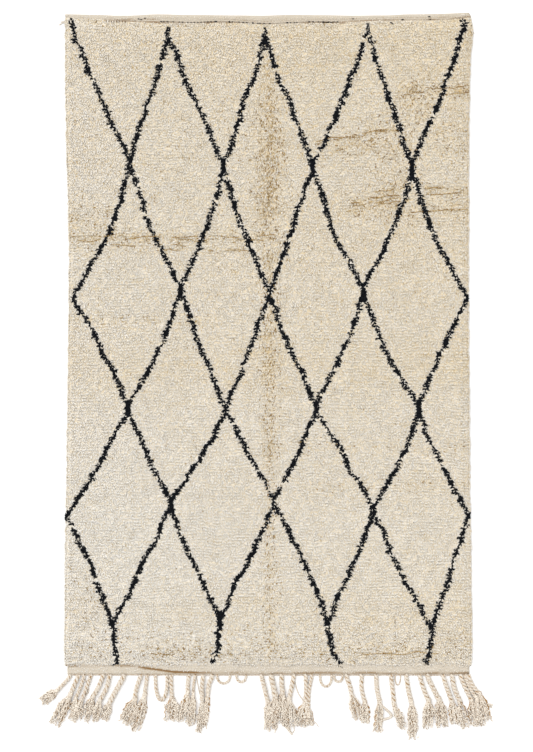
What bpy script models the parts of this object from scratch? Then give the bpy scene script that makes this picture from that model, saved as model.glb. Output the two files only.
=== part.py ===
"""A hand-knotted wool rug lying flat on the floor, with a fringe at one end.

Units are metres, +Z is up and the floor is z = 0.  The rug's length runs
along Y and its fringe lies at the -Y end.  Places are measured from the
middle of the whole rug, fringe included, which is the origin.

Two solids are made:
  rug_body  the woven ground with its pile, its hem and its flat end band
  fringe    the plied warp cords and loops, fused to one narrow root strip
"""

import math
import random

import bmesh
import bpy
from mathutils import Vector, noise

MM = 0.001

# ---- Driving dimensions ------------------------------------------------
CLOTH_LENGTH = 2.457        # hem's outer edge to the end band's outer edge
CLOTH_END_Y = -1.111        # the end band's outer edge, where the fringe starts
HEM_LENGTH = 0.020          # plain-woven hem at the top end
BAND_LENGTH = 0.034         # flat-woven band at the fringe end
WEAVE_THICKNESS = 0.0045    # hem and band
PILE_HEIGHT = 0.022         # crown of the pile above the floor
PILE_STEP = 0.012           # length over which the pile's end slopes down
RIM_HEIGHT = 0.015          # shoulder of the pile along the side edges
RIM_ROUNDING = 0.030        # width over which the crown falls to the shoulder
RIM_UNEVENNESS = 0.0015     # how far the shoulder rises and falls between rows
LOCK_REACH = (0.004, 0.010)   # how far a lock of wool stands out of the side,
LOCK_SWEEP = (-0.004, 0.003)  # how far its tip lies along the rug
LOCK_RISE = (-0.004, 0.004)   # and above or below the middle of the side
WAVE_HEIGHT = 0.0028        # broad lumps of the pile, and how many to a metre
WAVES_PER_METRE = 5.0
TUFT_HEIGHT = 0.0034        # small lumps of the pile, and how many to a metre
TUFTS_PER_METRE = 13.0
ROW_PITCH = 0.0245          # spacing of the surface's rows along the rug
LENGTHWAYS_FINENESS = 1.6   # the lumps are this much shorter along the rug
COLUMN_COUNT = 32           # columns of the surface across the rug
FOLD_COLUMN_PITCH = 0.022   # finer columns along the lengthways fold
PIECE_GAP = 0.0003          # between the cloth and the fringe's strip

STRIP_LENGTH = 0.007        # the fringe's root strip, along Y
STRIP_THICKNESS = 0.0045
CORD_FLATNESS = 0.72        # a cord's height over its width
CORD_TOP_SHARE = 0.55       # width of a cord's top over its foot
HEAD_HEIGHT = 0.014         # a frayed head's height
STRAND_CLEARANCE = 0.0016   # least space between neighbouring strands
LEAN_SPAN = 0.012           # stretch of cord over which its lean is taken
LOOP_STEPS = 8              # bends in a warp loop

SHARP_ANGLE = math.radians(40.0)
RANDOM_SEED = 7

CLOTH_TOP_Y = CLOTH_END_Y + CLOTH_LENGTH
PILE_TOP_Y = CLOTH_TOP_Y - HEM_LENGTH
PILE_END_Y = CLOTH_END_Y + BAND_LENGTH

# ---- Tables, in millimetres ----------------------------------------------
# The cloth's side edges, as the weaver let them drift: place along the rug,
# then the left and the right edge.
EDGE_COLUMNS = ("y", "left", "right")
EDGES = [
    (1346, -750, 757),
    (1215, -750, 761),
    (1065, -749, 757),
    (920, -746, 754),
    (620, -739, 753),
    (470, -735, 753),
    (100, -738, 753),
    (-350, -745, 757),
    (-650, -750, 762),
    (-1020, -753, 765),
    (-1077, -752, 765),
    (-1084, -743, 757),
    (-1111, -743, 757),
]

# The outer edge of the hem, slightly bowed: place across, then set-back.
HEM_BOW_COLUMNS = ("x", "back")
HEM_BOW = [
    (-750, 0),
    (-560, 5),
    (-420, 3),
    (0, 1),
    (560, 1),
    (757, -4),
]

# Troughs pressed into the pile where the rug was folded: a line from one
# point to the other, the trough's depth and its half width.
TROUGH_COLUMNS = ("x0", "y0", "x1", "y1", "depth", "half")
TROUGHS = [
    (10, 1200, 13, 430, 6, 34),
    (13, 430, 15, -1070, 4, 22),
    (-735, 512, 20, 520, 5, 24),
    (-735, 487, -60, 484, 4, 18),
    (200, 866, 500, 860, 4, 22),
    (515, 1062, 757, 1068, 4, 24),
    (290, 690, 757, 697, 5, 24),
    (275, 622, 757, 632, 3, 26),
    (-735, 203, -180, 206, 3, 24),
    (120, -262, 757, -254, 3, 26),
    (160, -402, 757, -408, 3, 26),
    (-430, -1040, -90, -1052, 3, 26),
    (200, -1046, 640, -1038, 3, 26),
]

# The fringe's plied cords: where each leaves the strip, its neck, where the
# frayed head begins, and its tip, then the widths of the cord and the head.
CORD_COLUMNS = ("root_x", "neck_x", "neck_y", "tip_x", "tip_y", "cord", "head")
CORDS = [
    (-733, -783, -1174, -839, -1214, 13, 34),
    (-702, -735, -1196, -791, -1301, 15, 44),
    (-666, -701, -1208, -731, -1282, 24, 34),
    (-609, -650, -1200, -679, -1284, 15, 32),
    (-584, -622, -1211, -640, -1288, 15, 26),
    (-530, -586, -1219, -607, -1281, 17, 30),
    (-469, -493, -1208, -530, -1293, 15, 44),
    (-445, -456, -1197, -489, -1318, 13, 36),
    (-356, -356, -1192, -352, -1276, 14, 56),
    (-290, -294, -1185, -312, -1286, 14, 30),
    (-267, -274, -1190, -281, -1300, 10, 22),
    (-237, -239, -1212, -254, -1323, 15, 18),
    (-203, -219, -1180, -232, -1304, 15, 16),
    (-19, 6, -1219, 4, -1290, 15, 24),
    (17, 33, -1208, 21, -1318, 18, 36),
    (56, 64, -1185, 51, -1291, 16, 30),
    (102, 84, -1219, 96, -1310, 15, 26),
    (147, 145, -1231, 124, -1309, 14, 32),
    (169, 156, -1237, 164, -1299, 12, 24),
    (298, 320, -1195, 345, -1281, 15, 34),
    (354, 368, -1219, 367, -1290, 14, 26),
    (408, 423, -1219, 413, -1325, 15, 26),
    (464, 477, -1228, 514, -1311, 15, 28),
    (520, 541, -1222, 547, -1349, 15, 36),
    (571, 606, -1214, 604, -1310, 15, 38),
    (599, 645, -1210, 656, -1309, 16, 40),
    (658, 693, -1216, 706, -1296, 15, 30),
    (691, 722, -1214, 744, -1311, 16, 28),
    (723, 767, -1216, 786, -1299, 15, 34),
    (752, 795, -1200, 840, -1229, 15, 44),
]

# Uncut warp loops: both roots, how far they reach and their yarn's width.
LOOP_COLUMNS = ("left_x", "right_x", "end_y", "yarn")
LOOPS = [
    (-418, -376, -1216, 12),
    (-178, -140, -1150, 11),
    (-108, -78, -1144, 10),
    (200, 243, -1162, 11),
    (254, 282, -1144, 9),
    (480, 500, -1156, 8),
]

# Width and height of a head along its length: place from the neck (0) to
# the tip (1), then the share of the head's full width and of its height.
HEAD_COLUMNS = ("along", "width", "height")
HEAD_PROFILE = [
    (0.18, 0.62, 0.85),
    (0.45, 0.95, 1.00),
    (0.75, 1.00, 0.80),
    (1.00, 0.55, 0.35),
]

# ---- Small tools ---------------------------------------------------------


def rows_of(columns, table):
    """The table's rows as dictionaries with named columns."""
    return [dict(zip(columns, row)) for row in table]


def ease(share):
    """A smooth step from 0 to 1."""
    share = min(max(share, 0.0), 1.0)
    return share * share * (3.0 - 2.0 * share)


def read_table(rows, key, place, column):
    """Value of one column at a place, eased between the table's rows."""
    ordered = sorted(rows, key=lambda row: row[key])
    if place <= ordered[0][key]:
        return ordered[0][column]
    for low, high in zip(ordered, ordered[1:]):
        if place <= high[key]:
            share = (place - low[key]) / (high[key] - low[key])
            return low[column] + (high[column] - low[column]) * ease(share)
    return ordered[-1][column]


def new_object(name, mesh_builder, colour, roughness):
    """A named object with its own material, from a function that fills a bmesh."""
    shape = bmesh.new()
    mesh_builder(shape)
    bmesh.ops.recalc_face_normals(shape, faces=shape.faces)
    mesh = bpy.data.meshes.new(name)
    shape.to_mesh(mesh)
    shape.free()
    mesh.shade_smooth()
    mesh.set_sharp_from_angle(angle=SHARP_ANGLE)
    material = bpy.data.materials.new(name)
    material.use_nodes = True
    shader = material.node_tree.nodes["Principled BSDF"]
    shader.inputs["Base Color"].default_value = (*colour, 1.0)
    shader.inputs["Roughness"].default_value = roughness
    shader.inputs["Metallic"].default_value = 0.0
    mesh.materials.append(material)
    thing = bpy.data.objects.new(name, mesh)
    bpy.context.scene.collection.objects.link(thing)
    return thing


# ---- The cloth -----------------------------------------------------------

EDGE_ROWS = rows_of(EDGE_COLUMNS, EDGES)
HEM_BOW_ROWS = rows_of(HEM_BOW_COLUMNS, HEM_BOW)
TROUGH_ROWS = rows_of(TROUGH_COLUMNS, TROUGHS)
SIDE_INSET = sum(LOCK_REACH) / 2.0     # the side wall behind the locks' tips
FOLD_X = TROUGHS[0][0] * MM            # the lengthways fold


def side_edges(y):
    """Left and right edge of the cloth at a place along the rug."""
    left = read_table(EDGE_ROWS, "y", y / MM, "left") * MM
    right = read_table(EDGE_ROWS, "y", y / MM, "right") * MM
    return left + SIDE_INSET, right - SIDE_INSET


def trough_depth(x, y):
    """How deep the pile is pressed down here by the folds."""
    depth = 0.0
    for row in TROUGH_ROWS:
        start = Vector((row["x0"], row["y0"])) * MM
        end = Vector((row["x1"], row["y1"])) * MM
        along = end - start
        share = (Vector((x, y)) - start).dot(along) / along.length_squared
        nearest = start + along * min(max(share, 0.0), 1.0)
        away = (Vector((x, y)) - nearest).length / (row["half"] * MM)
        depth = max(depth, row["depth"] * MM * math.exp(-away * away))
    return depth


def lumps(x, y):
    """The uneven lie of the pile: broad waves with smaller tufts on them."""
    place = Vector((x, y * LENGTHWAYS_FINENESS, 1.0))
    return (WAVE_HEIGHT * noise.noise(place * WAVES_PER_METRE)
            + TUFT_HEIGHT * noise.noise(place * TUFTS_PER_METRE))


def pile_surface(x, y, left, right):
    """Height of the pile's surface above the floor."""
    from_side = min(x - left, right - x)
    shoulder = (PILE_HEIGHT - RIM_HEIGHT) * (1.0 - ease(from_side / RIM_ROUNDING))
    return PILE_HEIGHT - shoulder - trough_depth(x, y) + lumps(x, y)


def row_places():
    """Places of the surface's rows along the rug, hem first, and their kind."""
    places = [(CLOTH_TOP_Y, "weave"), (PILE_TOP_Y, "weave")]
    first = PILE_TOP_Y - PILE_STEP
    last = PILE_END_Y + PILE_STEP
    count = round((first - last) / ROW_PITCH)
    for step in range(count + 1):
        places.append((first + (last - first) * step / count, "pile"))
    places += [(PILE_END_Y, "weave"), (CLOTH_END_Y, "weave")]
    return places


def column_shares():
    """Places of the columns across the rug, from 0 at the left to 1."""
    left, right = side_edges(0.0)
    width = right - left
    fold = (FOLD_X - left) / width
    near_fold = [fold + step * FOLD_COLUMN_PITCH / width for step in (-2, -1, 0, 1, 2)]
    even = [step / COLUMN_COUNT for step in range(COLUMN_COUNT + 1)]
    spare = 0.6 / COLUMN_COUNT
    clear = [share for share in even
             if share < near_fold[0] - spare or share > near_fold[-1] + spare]
    shoulder = RIM_ROUNDING / width * 0.6
    return sorted(clear + near_fold + [shoulder, 1.0 - shoulder])


def make_cloth(shape):
    """Pile, hem and end band as one closed slab with locks along its sides."""
    chance = random.Random(RANDOM_SEED)
    shares = column_shares()
    top_rows = []
    for y, kind in row_places():
        left, right = side_edges(y)
        row = []
        for share in shares:
            x = left + (right - left) * share
            z = WEAVE_THICKNESS
            if kind == "pile":
                z = pile_surface(x, y, left, right)
            back = 0.0
            if y == CLOTH_TOP_Y:
                back = read_table(HEM_BOW_ROWS, "x", x / MM, "back") * MM
            row.append(shape.verts.new((x, y - back, z)))
        top_rows.append((kind, row))

    def foot(vertex):
        """The point on the floor below a point of the rim."""
        return shape.verts.new((vertex.co.x, vertex.co.y, 0.0))

    # The side rims, with a point added between every two rows of pile.
    rims = {}
    for side, column in (("left", 0), ("right", -1)):
        rim = []
        for (kind, row), (next_kind, next_row) in zip(top_rows, top_rows[1:]):
            rim.append([row[column]])
            if kind == next_kind == "pile":
                middle = (row[column].co + next_row[column].co) / 2.0
                middle.z += chance.uniform(-RIM_UNEVENNESS, RIM_UNEVENNESS)
                rim[-1].append(shape.verts.new(middle))
        rims[side] = rim
    feet = {side: [[foot(vertex) for vertex in cell] for cell in rim]
            for side, rim in rims.items()}
    for side, column in (("left", 0), ("right", -1)):
        rims[side].append([top_rows[-1][1][column]])
        feet[side].append([foot(top_rows[-1][1][column])])

    def closed_side(side, outward):
        """Wall down one side, each piece of pile wall drawn out into a lock."""
        for index in range(len(rims[side]) - 1):
            upper = rims[side][index] + rims[side][index + 1][:1]
            lower = feet[side][index] + feet[side][index + 1][:1]
            for (a, b), (d, c) in zip(zip(upper, upper[1:]), zip(lower, lower[1:])):
                if len(upper) < 3:
                    shape.faces.new((a, b, c, d))
                    continue
                middle = (a.co + b.co + c.co + d.co) / 4.0
                tip = middle + Vector((
                    outward * chance.uniform(*LOCK_REACH),
                    chance.uniform(*LOCK_SWEEP),
                    chance.uniform(*LOCK_RISE)))
                point = shape.verts.new(tip)
                for start, end in ((a, b), (b, c), (c, d), (d, a)):
                    shape.faces.new((start, end, point))

    closed_side("left", -1.0)
    closed_side("right", 1.0)

    # The top surface: inner cells are quads, rim cells take the added points.
    for index, ((_, row), (_, next_row)) in enumerate(zip(top_rows, top_rows[1:])):
        last = len(row) - 2
        for column in range(len(row) - 1):
            corners = [row[column], row[column + 1]]
            if column == last:
                corners += rims["right"][index][1:]
            corners += [next_row[column + 1], next_row[column]]
            if column == 0:
                corners += rims["left"][index][1:]
            shape.faces.new(corners)

    # The two ends and the underside.
    hem_feet = [feet["left"][0][0]] + [foot(v) for v in top_rows[0][1][1:-1]] \
        + [feet["right"][0][0]]
    band_feet = [feet["left"][-1][0]] + [foot(v) for v in top_rows[-1][1][1:-1]] \
        + [feet["right"][-1][0]]
    for row, row_feet in ((top_rows[0][1], hem_feet), (top_rows[-1][1], band_feet)):
        for column in range(len(row) - 1):
            shape.faces.new((row[column], row[column + 1],
                             row_feet[column + 1], row_feet[column]))
    count = len(top_rows) - 1
    for index in range(count):
        ring = feet["left"][index] + feet["left"][index + 1][:1]
        far_side = feet["right"][index] + feet["right"][index + 1][:1]
        if index == 0:
            ring = hem_feet[1:-1][::-1] + ring
        far_side = far_side[::-1]
        if index == count - 1:
            far_side = band_feet[1:-1] + far_side
        shape.faces.new(ring + far_side)


# ---- The fringe ----------------------------------------------------------

CORD_ROWS = rows_of(CORD_COLUMNS, CORDS)
LOOP_ROWS = rows_of(LOOP_COLUMNS, LOOPS)
HEAD_ROWS = rows_of(HEAD_COLUMNS, HEAD_PROFILE)
STRIP_BACK_Y = CLOTH_END_Y - PIECE_GAP
STRIP_FRONT_Y = STRIP_BACK_Y - STRIP_LENGTH


def cord_centre(row, y):
    """Place across the rug of a cord's middle at a place along it."""
    neck_y = row["neck_y"] * MM
    tip_y = row["tip_y"] * MM
    if y >= neck_y:
        share = (STRIP_FRONT_Y - y) / (STRIP_FRONT_Y - neck_y)
        share = 0.45 * ease(share) + 0.55 * share
        return (row["root_x"] + (row["neck_x"] - row["root_x"]) * share) * MM
    share = (neck_y - y) / (neck_y - tip_y)
    return (row["neck_x"] + (row["tip_x"] - row["neck_x"]) * share) * MM


def loop_legs(row, y):
    """Outer faces of a loop's two legs where the loop reaches, else nothing."""
    if y < row["end_y"] * MM:
        return None
    half = row["yarn"] * MM / 2.0
    return row["left_x"] * MM - half, row["right_x"] * MM + half


def cord_lean(row, y):
    """How far a cord moves sideways for each metre along the rug."""
    near, far = y + LEAN_SPAN, max(y - LEAN_SPAN, row["tip_y"] * MM)
    near = min(near, STRIP_FRONT_Y)
    return (cord_centre(row, near) - cord_centre(row, far)) / (near - far)


def free_half_width(row, centre, y, wanted):
    """Half the strand's spread across the rug, kept clear of its neighbours."""
    half = wanted
    for other in CORD_ROWS:
        if other is row or y < other["tip_y"] * MM - HEAD_HEIGHT:
            continue
        away = abs(cord_centre(other, max(y, other["tip_y"] * MM)) - centre)
        half = min(half, (away - STRAND_CLEARANCE) / 2.0)
    for loop in LOOP_ROWS:
        legs = loop_legs(loop, y + STRAND_CLEARANCE)
        if legs:
            away = min(abs(legs[0] - centre), abs(legs[1] - centre))
            half = min(half, away - STRAND_CLEARANCE)
    return max(half, 0.002)


def strand_ring(shape, centre, across, half, height):
    """One four-sided section of a strand, its foot flat on the floor."""
    top = half * CORD_TOP_SHARE
    return [shape.verts.new(centre - across * half),
            shape.verts.new(centre + across * half),
            shape.verts.new(centre + across * top + Vector((0.0, 0.0, height))),
            shape.verts.new(centre - across * top + Vector((0.0, 0.0, height)))]


def join_rings(shape, first, second):
    """The four walls between two sections."""
    for corner in range(4):
        following = (corner + 1) % 4
        shape.faces.new((first[corner], first[following],
                         second[following], second[corner]))


def make_cord(shape, row, root):
    """A plied cord with its frayed head, drawn out of its root on the strip."""
    neck_y = row["neck_y"] * MM
    tip_y = row["tip_y"] * MM
    cord_half = row["cord"] * MM / 2.0
    head_half = row["head"] * MM / 2.0
    cord_height = min(row["cord"] * MM * CORD_FLATNESS, HEAD_HEIGHT * 0.9)
    sections = []
    for share in (0.12, 0.4, 0.7, 1.0):
        y = STRIP_FRONT_Y + (neck_y - STRIP_FRONT_Y) * share
        sections.append((y, cord_half, cord_height))
    for part in HEAD_ROWS:
        y = neck_y + (tip_y - neck_y) * part["along"]
        sections.append((y, head_half * part["width"], HEAD_HEIGHT * part["height"]))
    previous = root
    for y, wanted, height in sections:
        centre = cord_centre(row, y)
        across = Vector((1.0, -cord_lean(row, y), 0.0)).normalized()
        half = free_half_width(row, centre, y, wanted / across.x) * across.x
        ring = strand_ring(shape, Vector((centre, y, 0.0)), across, half, height)
        join_rings(shape, previous, ring)
        previous = ring
    shape.faces.new(previous)


def make_loop(shape, row, left_root, right_root):
    """An uncut warp loop: out of the strip, round, and back into it."""
    half = row["yarn"] * MM / 2.0
    left_x = row["left_x"] * MM
    right_x = row["right_x"] * MM
    middle_x = (left_x + right_x) / 2.0
    radius_x = (right_x - left_x) / 2.0
    reach = STRIP_FRONT_Y - row["end_y"] * MM - half
    bend = min(radius_x, reach * 0.75)
    bend_y = STRIP_FRONT_Y - reach + bend
    height = row["yarn"] * MM * CORD_FLATNESS
    previous = left_root
    for step in range(LOOP_STEPS + 1):
        angle = math.pi * step / LOOP_STEPS
        centre = Vector((middle_x - radius_x * math.cos(angle),
                         bend_y - bend * math.sin(angle), 0.0))
        across = Vector((math.cos(angle), math.sin(angle), 0.0))
        ring = strand_ring(shape, centre, across, half, height)
        join_rings(shape, previous, ring)
        previous = ring
    mirrored = [right_root[1], right_root[0], right_root[3], right_root[2]]
    join_rings(shape, previous, mirrored)


def strip_roots():
    """Every strand's root on the strip, from left to right."""
    roots = []
    for row in CORD_ROWS:
        half = row["cord"] * MM / 2.0
        roots.append((row["root_x"] * MM, half, ("cord", row)))
    for row in LOOP_ROWS:
        half = row["yarn"] * MM / 2.0
        roots.append((row["left_x"] * MM, half, ("left", row)))
        roots.append((row["right_x"] * MM, half, ("right", row)))
    roots.sort(key=lambda root: root[0])
    return roots


def make_fringe(shape):
    """The root strip, with a cord or a loop's leg drawn out of each root."""
    left, right = side_edges(CLOTH_END_Y)
    roots = strip_roots()
    stations = [left]
    for centre, half, _ in roots:
        stations += [centre - half, centre + half]
    stations.append(right)
    stations = [min(max(place, left), right) for place in stations]

    lines = []
    for x in stations:
        lines.append([shape.verts.new((x, STRIP_FRONT_Y, 0.0)),
                      shape.verts.new((x, STRIP_BACK_Y, 0.0)),
                      shape.verts.new((x, STRIP_BACK_Y, STRIP_THICKNESS)),
                      shape.verts.new((x, STRIP_FRONT_Y, STRIP_THICKNESS))])
    for first, second in zip(lines, lines[1:]):
        for corner in (0, 1, 2):
            shape.faces.new((first[corner], first[corner + 1],
                             second[corner + 1], second[corner]))
    shape.faces.new(lines[0])
    shape.faces.new(lines[-1])
    for index in range(0, len(lines) - 1, 2):
        first, second = lines[index], lines[index + 1]
        shape.faces.new((first[0], second[0], second[3], first[3]))

    legs = {}
    for index, (_, _, (kind, row)) in enumerate(roots):
        first, second = lines[2 * index + 1], lines[2 * index + 2]
        root = [first[0], second[0], second[3], first[3]]
        if kind == "cord":
            make_cord(shape, row, root)
        else:
            legs.setdefault(row["left_x"], {})[kind] = root
    for row in LOOP_ROWS:
        pair = legs[row["left_x"]]
        make_loop(shape, row, pair["left"], pair["right"])


# ---- The rug -------------------------------------------------------------


def centre_on_origin(things):
    """Slide the rug so that the middle of its whole box stands on the origin."""
    corners = [vertex.co for thing in things for vertex in thing.data.vertices]
    middle_x = (min(c.x for c in corners) + max(c.x for c in corners)) / 2.0
    middle_y = (min(c.y for c in corners) + max(c.y for c in corners)) / 2.0
    for thing in things:
        thing.location = (-middle_x, -middle_y, 0.0)


def build_rug():
    """The two solids of the rug."""
    for thing in list(bpy.data.objects):
        bpy.data.objects.remove(thing, do_unlink=True)
    body = new_object("rug_body", make_cloth, (0.76, 0.68, 0.53), 0.95)
    fringe = new_object("fringe", make_fringe, (0.78, 0.69, 0.57), 0.9)
    centre_on_origin([body, fringe])


build_rug()
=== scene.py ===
"""The looks of a hand-knotted wool rug lying flat, seen from straight above.

The rug is a woven ground with a turned hem at one end and a flat band at the
other.  Rows of wool tufts stand on it and lie down over each other, dark ones
along a wandering diamond lattice.  Plied warp cords with frayed heads hang
from the band.  Places are measured from the middle of the whole rug, fringe
included: +X is right, +Y is towards the hem, +Z is up.  Tables are in
millimetres and everything else is in metres.
"""

import math

import bpy
import numpy as np
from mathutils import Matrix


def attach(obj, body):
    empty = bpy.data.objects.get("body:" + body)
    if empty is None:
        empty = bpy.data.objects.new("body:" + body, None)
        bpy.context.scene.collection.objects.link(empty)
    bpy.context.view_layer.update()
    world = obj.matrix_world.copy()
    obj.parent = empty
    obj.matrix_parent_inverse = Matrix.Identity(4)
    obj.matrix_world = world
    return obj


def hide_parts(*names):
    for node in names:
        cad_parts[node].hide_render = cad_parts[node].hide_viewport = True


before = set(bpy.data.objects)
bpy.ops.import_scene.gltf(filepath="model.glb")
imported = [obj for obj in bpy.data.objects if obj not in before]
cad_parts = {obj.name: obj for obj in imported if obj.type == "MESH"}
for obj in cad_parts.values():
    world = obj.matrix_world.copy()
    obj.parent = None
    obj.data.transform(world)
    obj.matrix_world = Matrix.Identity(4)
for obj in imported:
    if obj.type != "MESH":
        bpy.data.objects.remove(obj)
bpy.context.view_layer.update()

MM = 0.001
TURN = 2.0 * math.pi

# ---- The cloth's sizes ----
CLOTH_TOP_Y = 1.346
CLOTH_END_Y = -1.111
CLOTH_SHAPE = 0.61           # its width over its length
HEM_LENGTH = 0.020
BAND_LENGTH = 0.034
GROUND_THICKNESS = 0.0045
UNDERSIDE = 0.0004           # the ground's underside above the floor
HEM_PLUMPNESS = 0.0012       # how far the turned hem swells above the ground
EDGE_ROUNDING = 0.0025
LINE_DEPTH = 0.0012          # how deep the painted shadow lines lie in the ground
PILE_PAINTED_SHADE = 0.3             # how brown the ground is painted under the pile, as painted shade between the tufts,
PILE_PAINTED_SHADE_WIDTH = 0.006     # from so far inside the pile's rim and over as much again
GROUND_COLUMNS = 150
FINE_ROW = 0.002             # spacing of the ground's rows in hem and band
COARSE_ROW = 0.09            # and under the pile
WARP_PITCH = 0.0042          # spacing of the threads in the weave's relief
WEFT_PITCH = 0.0034

# ---- The pile's sizes ----
KNOT_ROW_PITCH = 0.018       # spacing of the knot rows along the rug
KNOT_PITCH = 0.0058          # spacing of the knots along a row
PILE_END_Y = CLOTH_END_Y + BAND_LENGTH
PILE_HEIGHT = 0.0205         # usual height of the pile
PILE_HEIGHT_RANGE = (0.005, 0.025)
SIDE_HEIGHT = 0.013          # its height at the side edges
END_HEIGHT = 0.0065          # its height at the hem and the band
SIDE_ROUNDING = 0.024
END_ROUNDING = 0.050
BED_DEPTH = 0.0022           # how far under the wisps the felted wool is closed
BED_STEP = 0.0125
BED_INSET = 0.0022
BED_SINK = 0.001             # how far its rim is sunk in the ground
BED_STEEPNESS = 0.10         # the share of a step in which the bed rises at its rim
BED_LEVEL = 0.40             # how high on a wisp the bed's colour is taken, low enough for much of the roots' painted shade

# ---- The wisps ----
PILE_PIECES = 5              # meshes that the wisps are shared among
WISP_ROW_PITCH = 0.0112      # spacing of the rows of wisps that the tufts fray into
WISP_PITCH = 0.0030          # spacing of the wisps along a row
WISP_LENGTH = 0.0145
WISP_HALF_WIDTH = 0.0026
WISP_SPREAD = 0.18           # how far their sizes differ
WISP_JITTER = 0.0011         # how far they stray along a row,
ROW_LOOSENESS = 0.0040       # and across one where nothing keeps it in order
ROW_TIGHTENING = 0.0032
ROW_ORDER = 0.45             # how orderly the rows are towards the hem,
ROW_ORDER_GAIN = 0.12        # and how much more so towards the fringe
PLANTING_DEPTH = 0.0015      # least distance of a wisp from the pile's outline
FUZZ_SHARE = 0.75            # of the wisps' places, how many are fuzz on the bare ground
FUZZ_SIZE = 0.6              # size of the fuzz against the wisps
FUZZ_LEVEL = 0.0006
SPECK_SHARE = 0.060          # how many wisps are brown specks where there are most
SPECK_PALENESS = 0.04        # how much paler than the brownest wool they can be
ROOT_SHARE = 0.40            # how much of a wisp lies behind its knot
ROOT_DEPTH = 0.0034
BROWN_LENGTH, BROWN_WIDTH = 0.60, 0.62   # size of the brown wisps, specks and fuzz painted with shade, against the others
DARK_LENGTH, DARK_WIDTH = 0.88, 1.25     # and of the dark ones
SIDE_LENGTH = 0.75           # and the length of those at the side edges,
SIDE_LENGTH_WIDTH = 0.014    # up to so far from them
STRAY = 0.55                 # how far the wisps stray from their way, in radians
PARTING_LEAN = (0.6, 0.8)    # how far they lean out of a fold, across and along the rug
SIDE_LEAN = 0.8              # how far they lean over the side edges,
SIDE_LEAN_WIDTH = 0.012      # and how near to them
DARK_LEAN = 1.7              # how far the dark wisps lean out of their line
DARK_LEAN_WIDTH = 0.005
DARK_RAGGEDNESS = 0.0009     # how ragged the dark lines' edges are
DARK_RISE = 0.0014           # how far the dark wisps lie above the others,
SPECK_RISE = 0.0012          # how far the specks do,
DARK_TRENCH = 0.0008         # and how far the light ones sink beside the dark
DARK_TRENCH_WIDTH = 0.006
LEAST_CLIMB, MOST_CLIMB = -0.008, 0.004   # how far a wisp follows the pile's slope

RIM_PITCH = 0.0007           # spacing of the wisps that hang over a side edge
RIM_REACH = 0.0022           # how far they reach past the ground's edge
RIM_LEVEL = 0.0035           # the lowest of them above the floor
RIM_SWAY = 0.0025

# The creases: thin brown wisps laid along them and dashes strewn near them, painted shadow of the
# folds.
CREASE_STEP = 0.0040
CREASE_WISP = 0.0095
CREASE_HALF_WIDTH = 0.0019
CREASE_LEVEL = 0.0016        # how far the creases' wisps lie above the pile's surface
CREASE_BREAKS = -0.30        # the higher, the more the creases are broken,
OUTER_BREAKS = 0.25          # and the outer ones of a fold by so much more
DASH_SPREAD = 0.66           # how far the dashes are strewn, in half widths of the trough
DASH_PALENESS = 0.018        # how much paler than the brownest wool they are

# ---- The lattice ----
BLOB_PITCH = 0.0150          # the dark lines are knotted in blobs of this length
BLOB_ENDS = 0.0048           # half width of a blob at its ends,
BLOB_BULGE = 0.0052          # how much wider it is at its middle,
BLOB_SPREAD = 0.0018         # how far its width differs,
BLOB_STEP = 0.0036           # and how far it stands beside its line
THIN_BLOB = 0.0024           # half width of a thin blob
THIN_LEVEL = 0.94            # the higher from -1 to 1, the fewer blobs are thin
CROSSING_JOIN = 9            # millimetres that two lines run as one above a crossing
LONGEST_SPAN = 270           # millimetres across between the ends of one line
STEM_POINT = 0.075           # how far down a stem under the hem is at its full width
STEM_SHARE = 0.45            # how wide it is at its point

# ---- The wool's shade: brown, then ivory, then the dark wool of the lattice ----
MOST_BROWN = 0.08
LEAST_IVORY = 0.13
MOST_IVORY = 0.80
DARK_SHADE = 0.90
DEEP_DARK = 0.95
IVORY_SHADE = 0.53
IVORY_SPREAD = 0.075         # how far the wisps' shades differ,
FOLD_SPREAD = 0.16           # and how much farther in the folds
# how much browner the wool is in the folds, as painted shade where the tufts part
FOLD_PAINTED_SHADE = 0.30
BROWNING_UP, BROWNING_RIGHT = 0.09, 0.08   # how much browner each metre is

# ---- The yarns ----
FLOOR_GAP = 0.0002
PLY_TONE = 0.10              # how brown the yarns are on their outsides
PLY_RADIUS = 0.28            # in widths of the cord, as are the next two:
PLY_ACROSS = 0.23            # how far the plies run from its middle, sideways
PLY_UP = 0.19                # and upwards
CORD_LIFT = 0.45             # a cord's middle above the floor, in its widths
CORD_STEP = 0.0032
YARN_STEP = 0.003
CORD_FULLNESS = 1.25         # its outer plies reach past its measured width
HEAD_FULLNESS = 1.15         # and the curls of its head past theirs
LOOP_FULLNESS = 0.9
STRIP_WIDTH = 0.0056         # the twisted root strip of the fringe
STITCH_PITCH = 0.0120
STITCH_LENGTH = 0.0046
STITCH_SET_BACK = 0.0020     # the stitches' line above the pile's start
STITCH_HEIGHTS = (0.0048, 0.0066, 0.0066, 0.0048)
SEAM_YARN = 0.0005           # radius of the brown yarn under them: a seam yarn that also paints the hem edge's shade line
ROOT_HEIGHT = 0.004          # of the cords' and loops' roots above the floor
HEAD_STEP = 0.0062
HEAD_CROWN = 0.0130          # height of a head at its neck,
HEAD_FALL = 0.004            # and how much lower it is at its tip

# ---- Tables ----


def rows_of(columns, table):
    """The table's rows as dictionaries with named columns."""
    return [dict(zip(columns, row)) for row in table]


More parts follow.
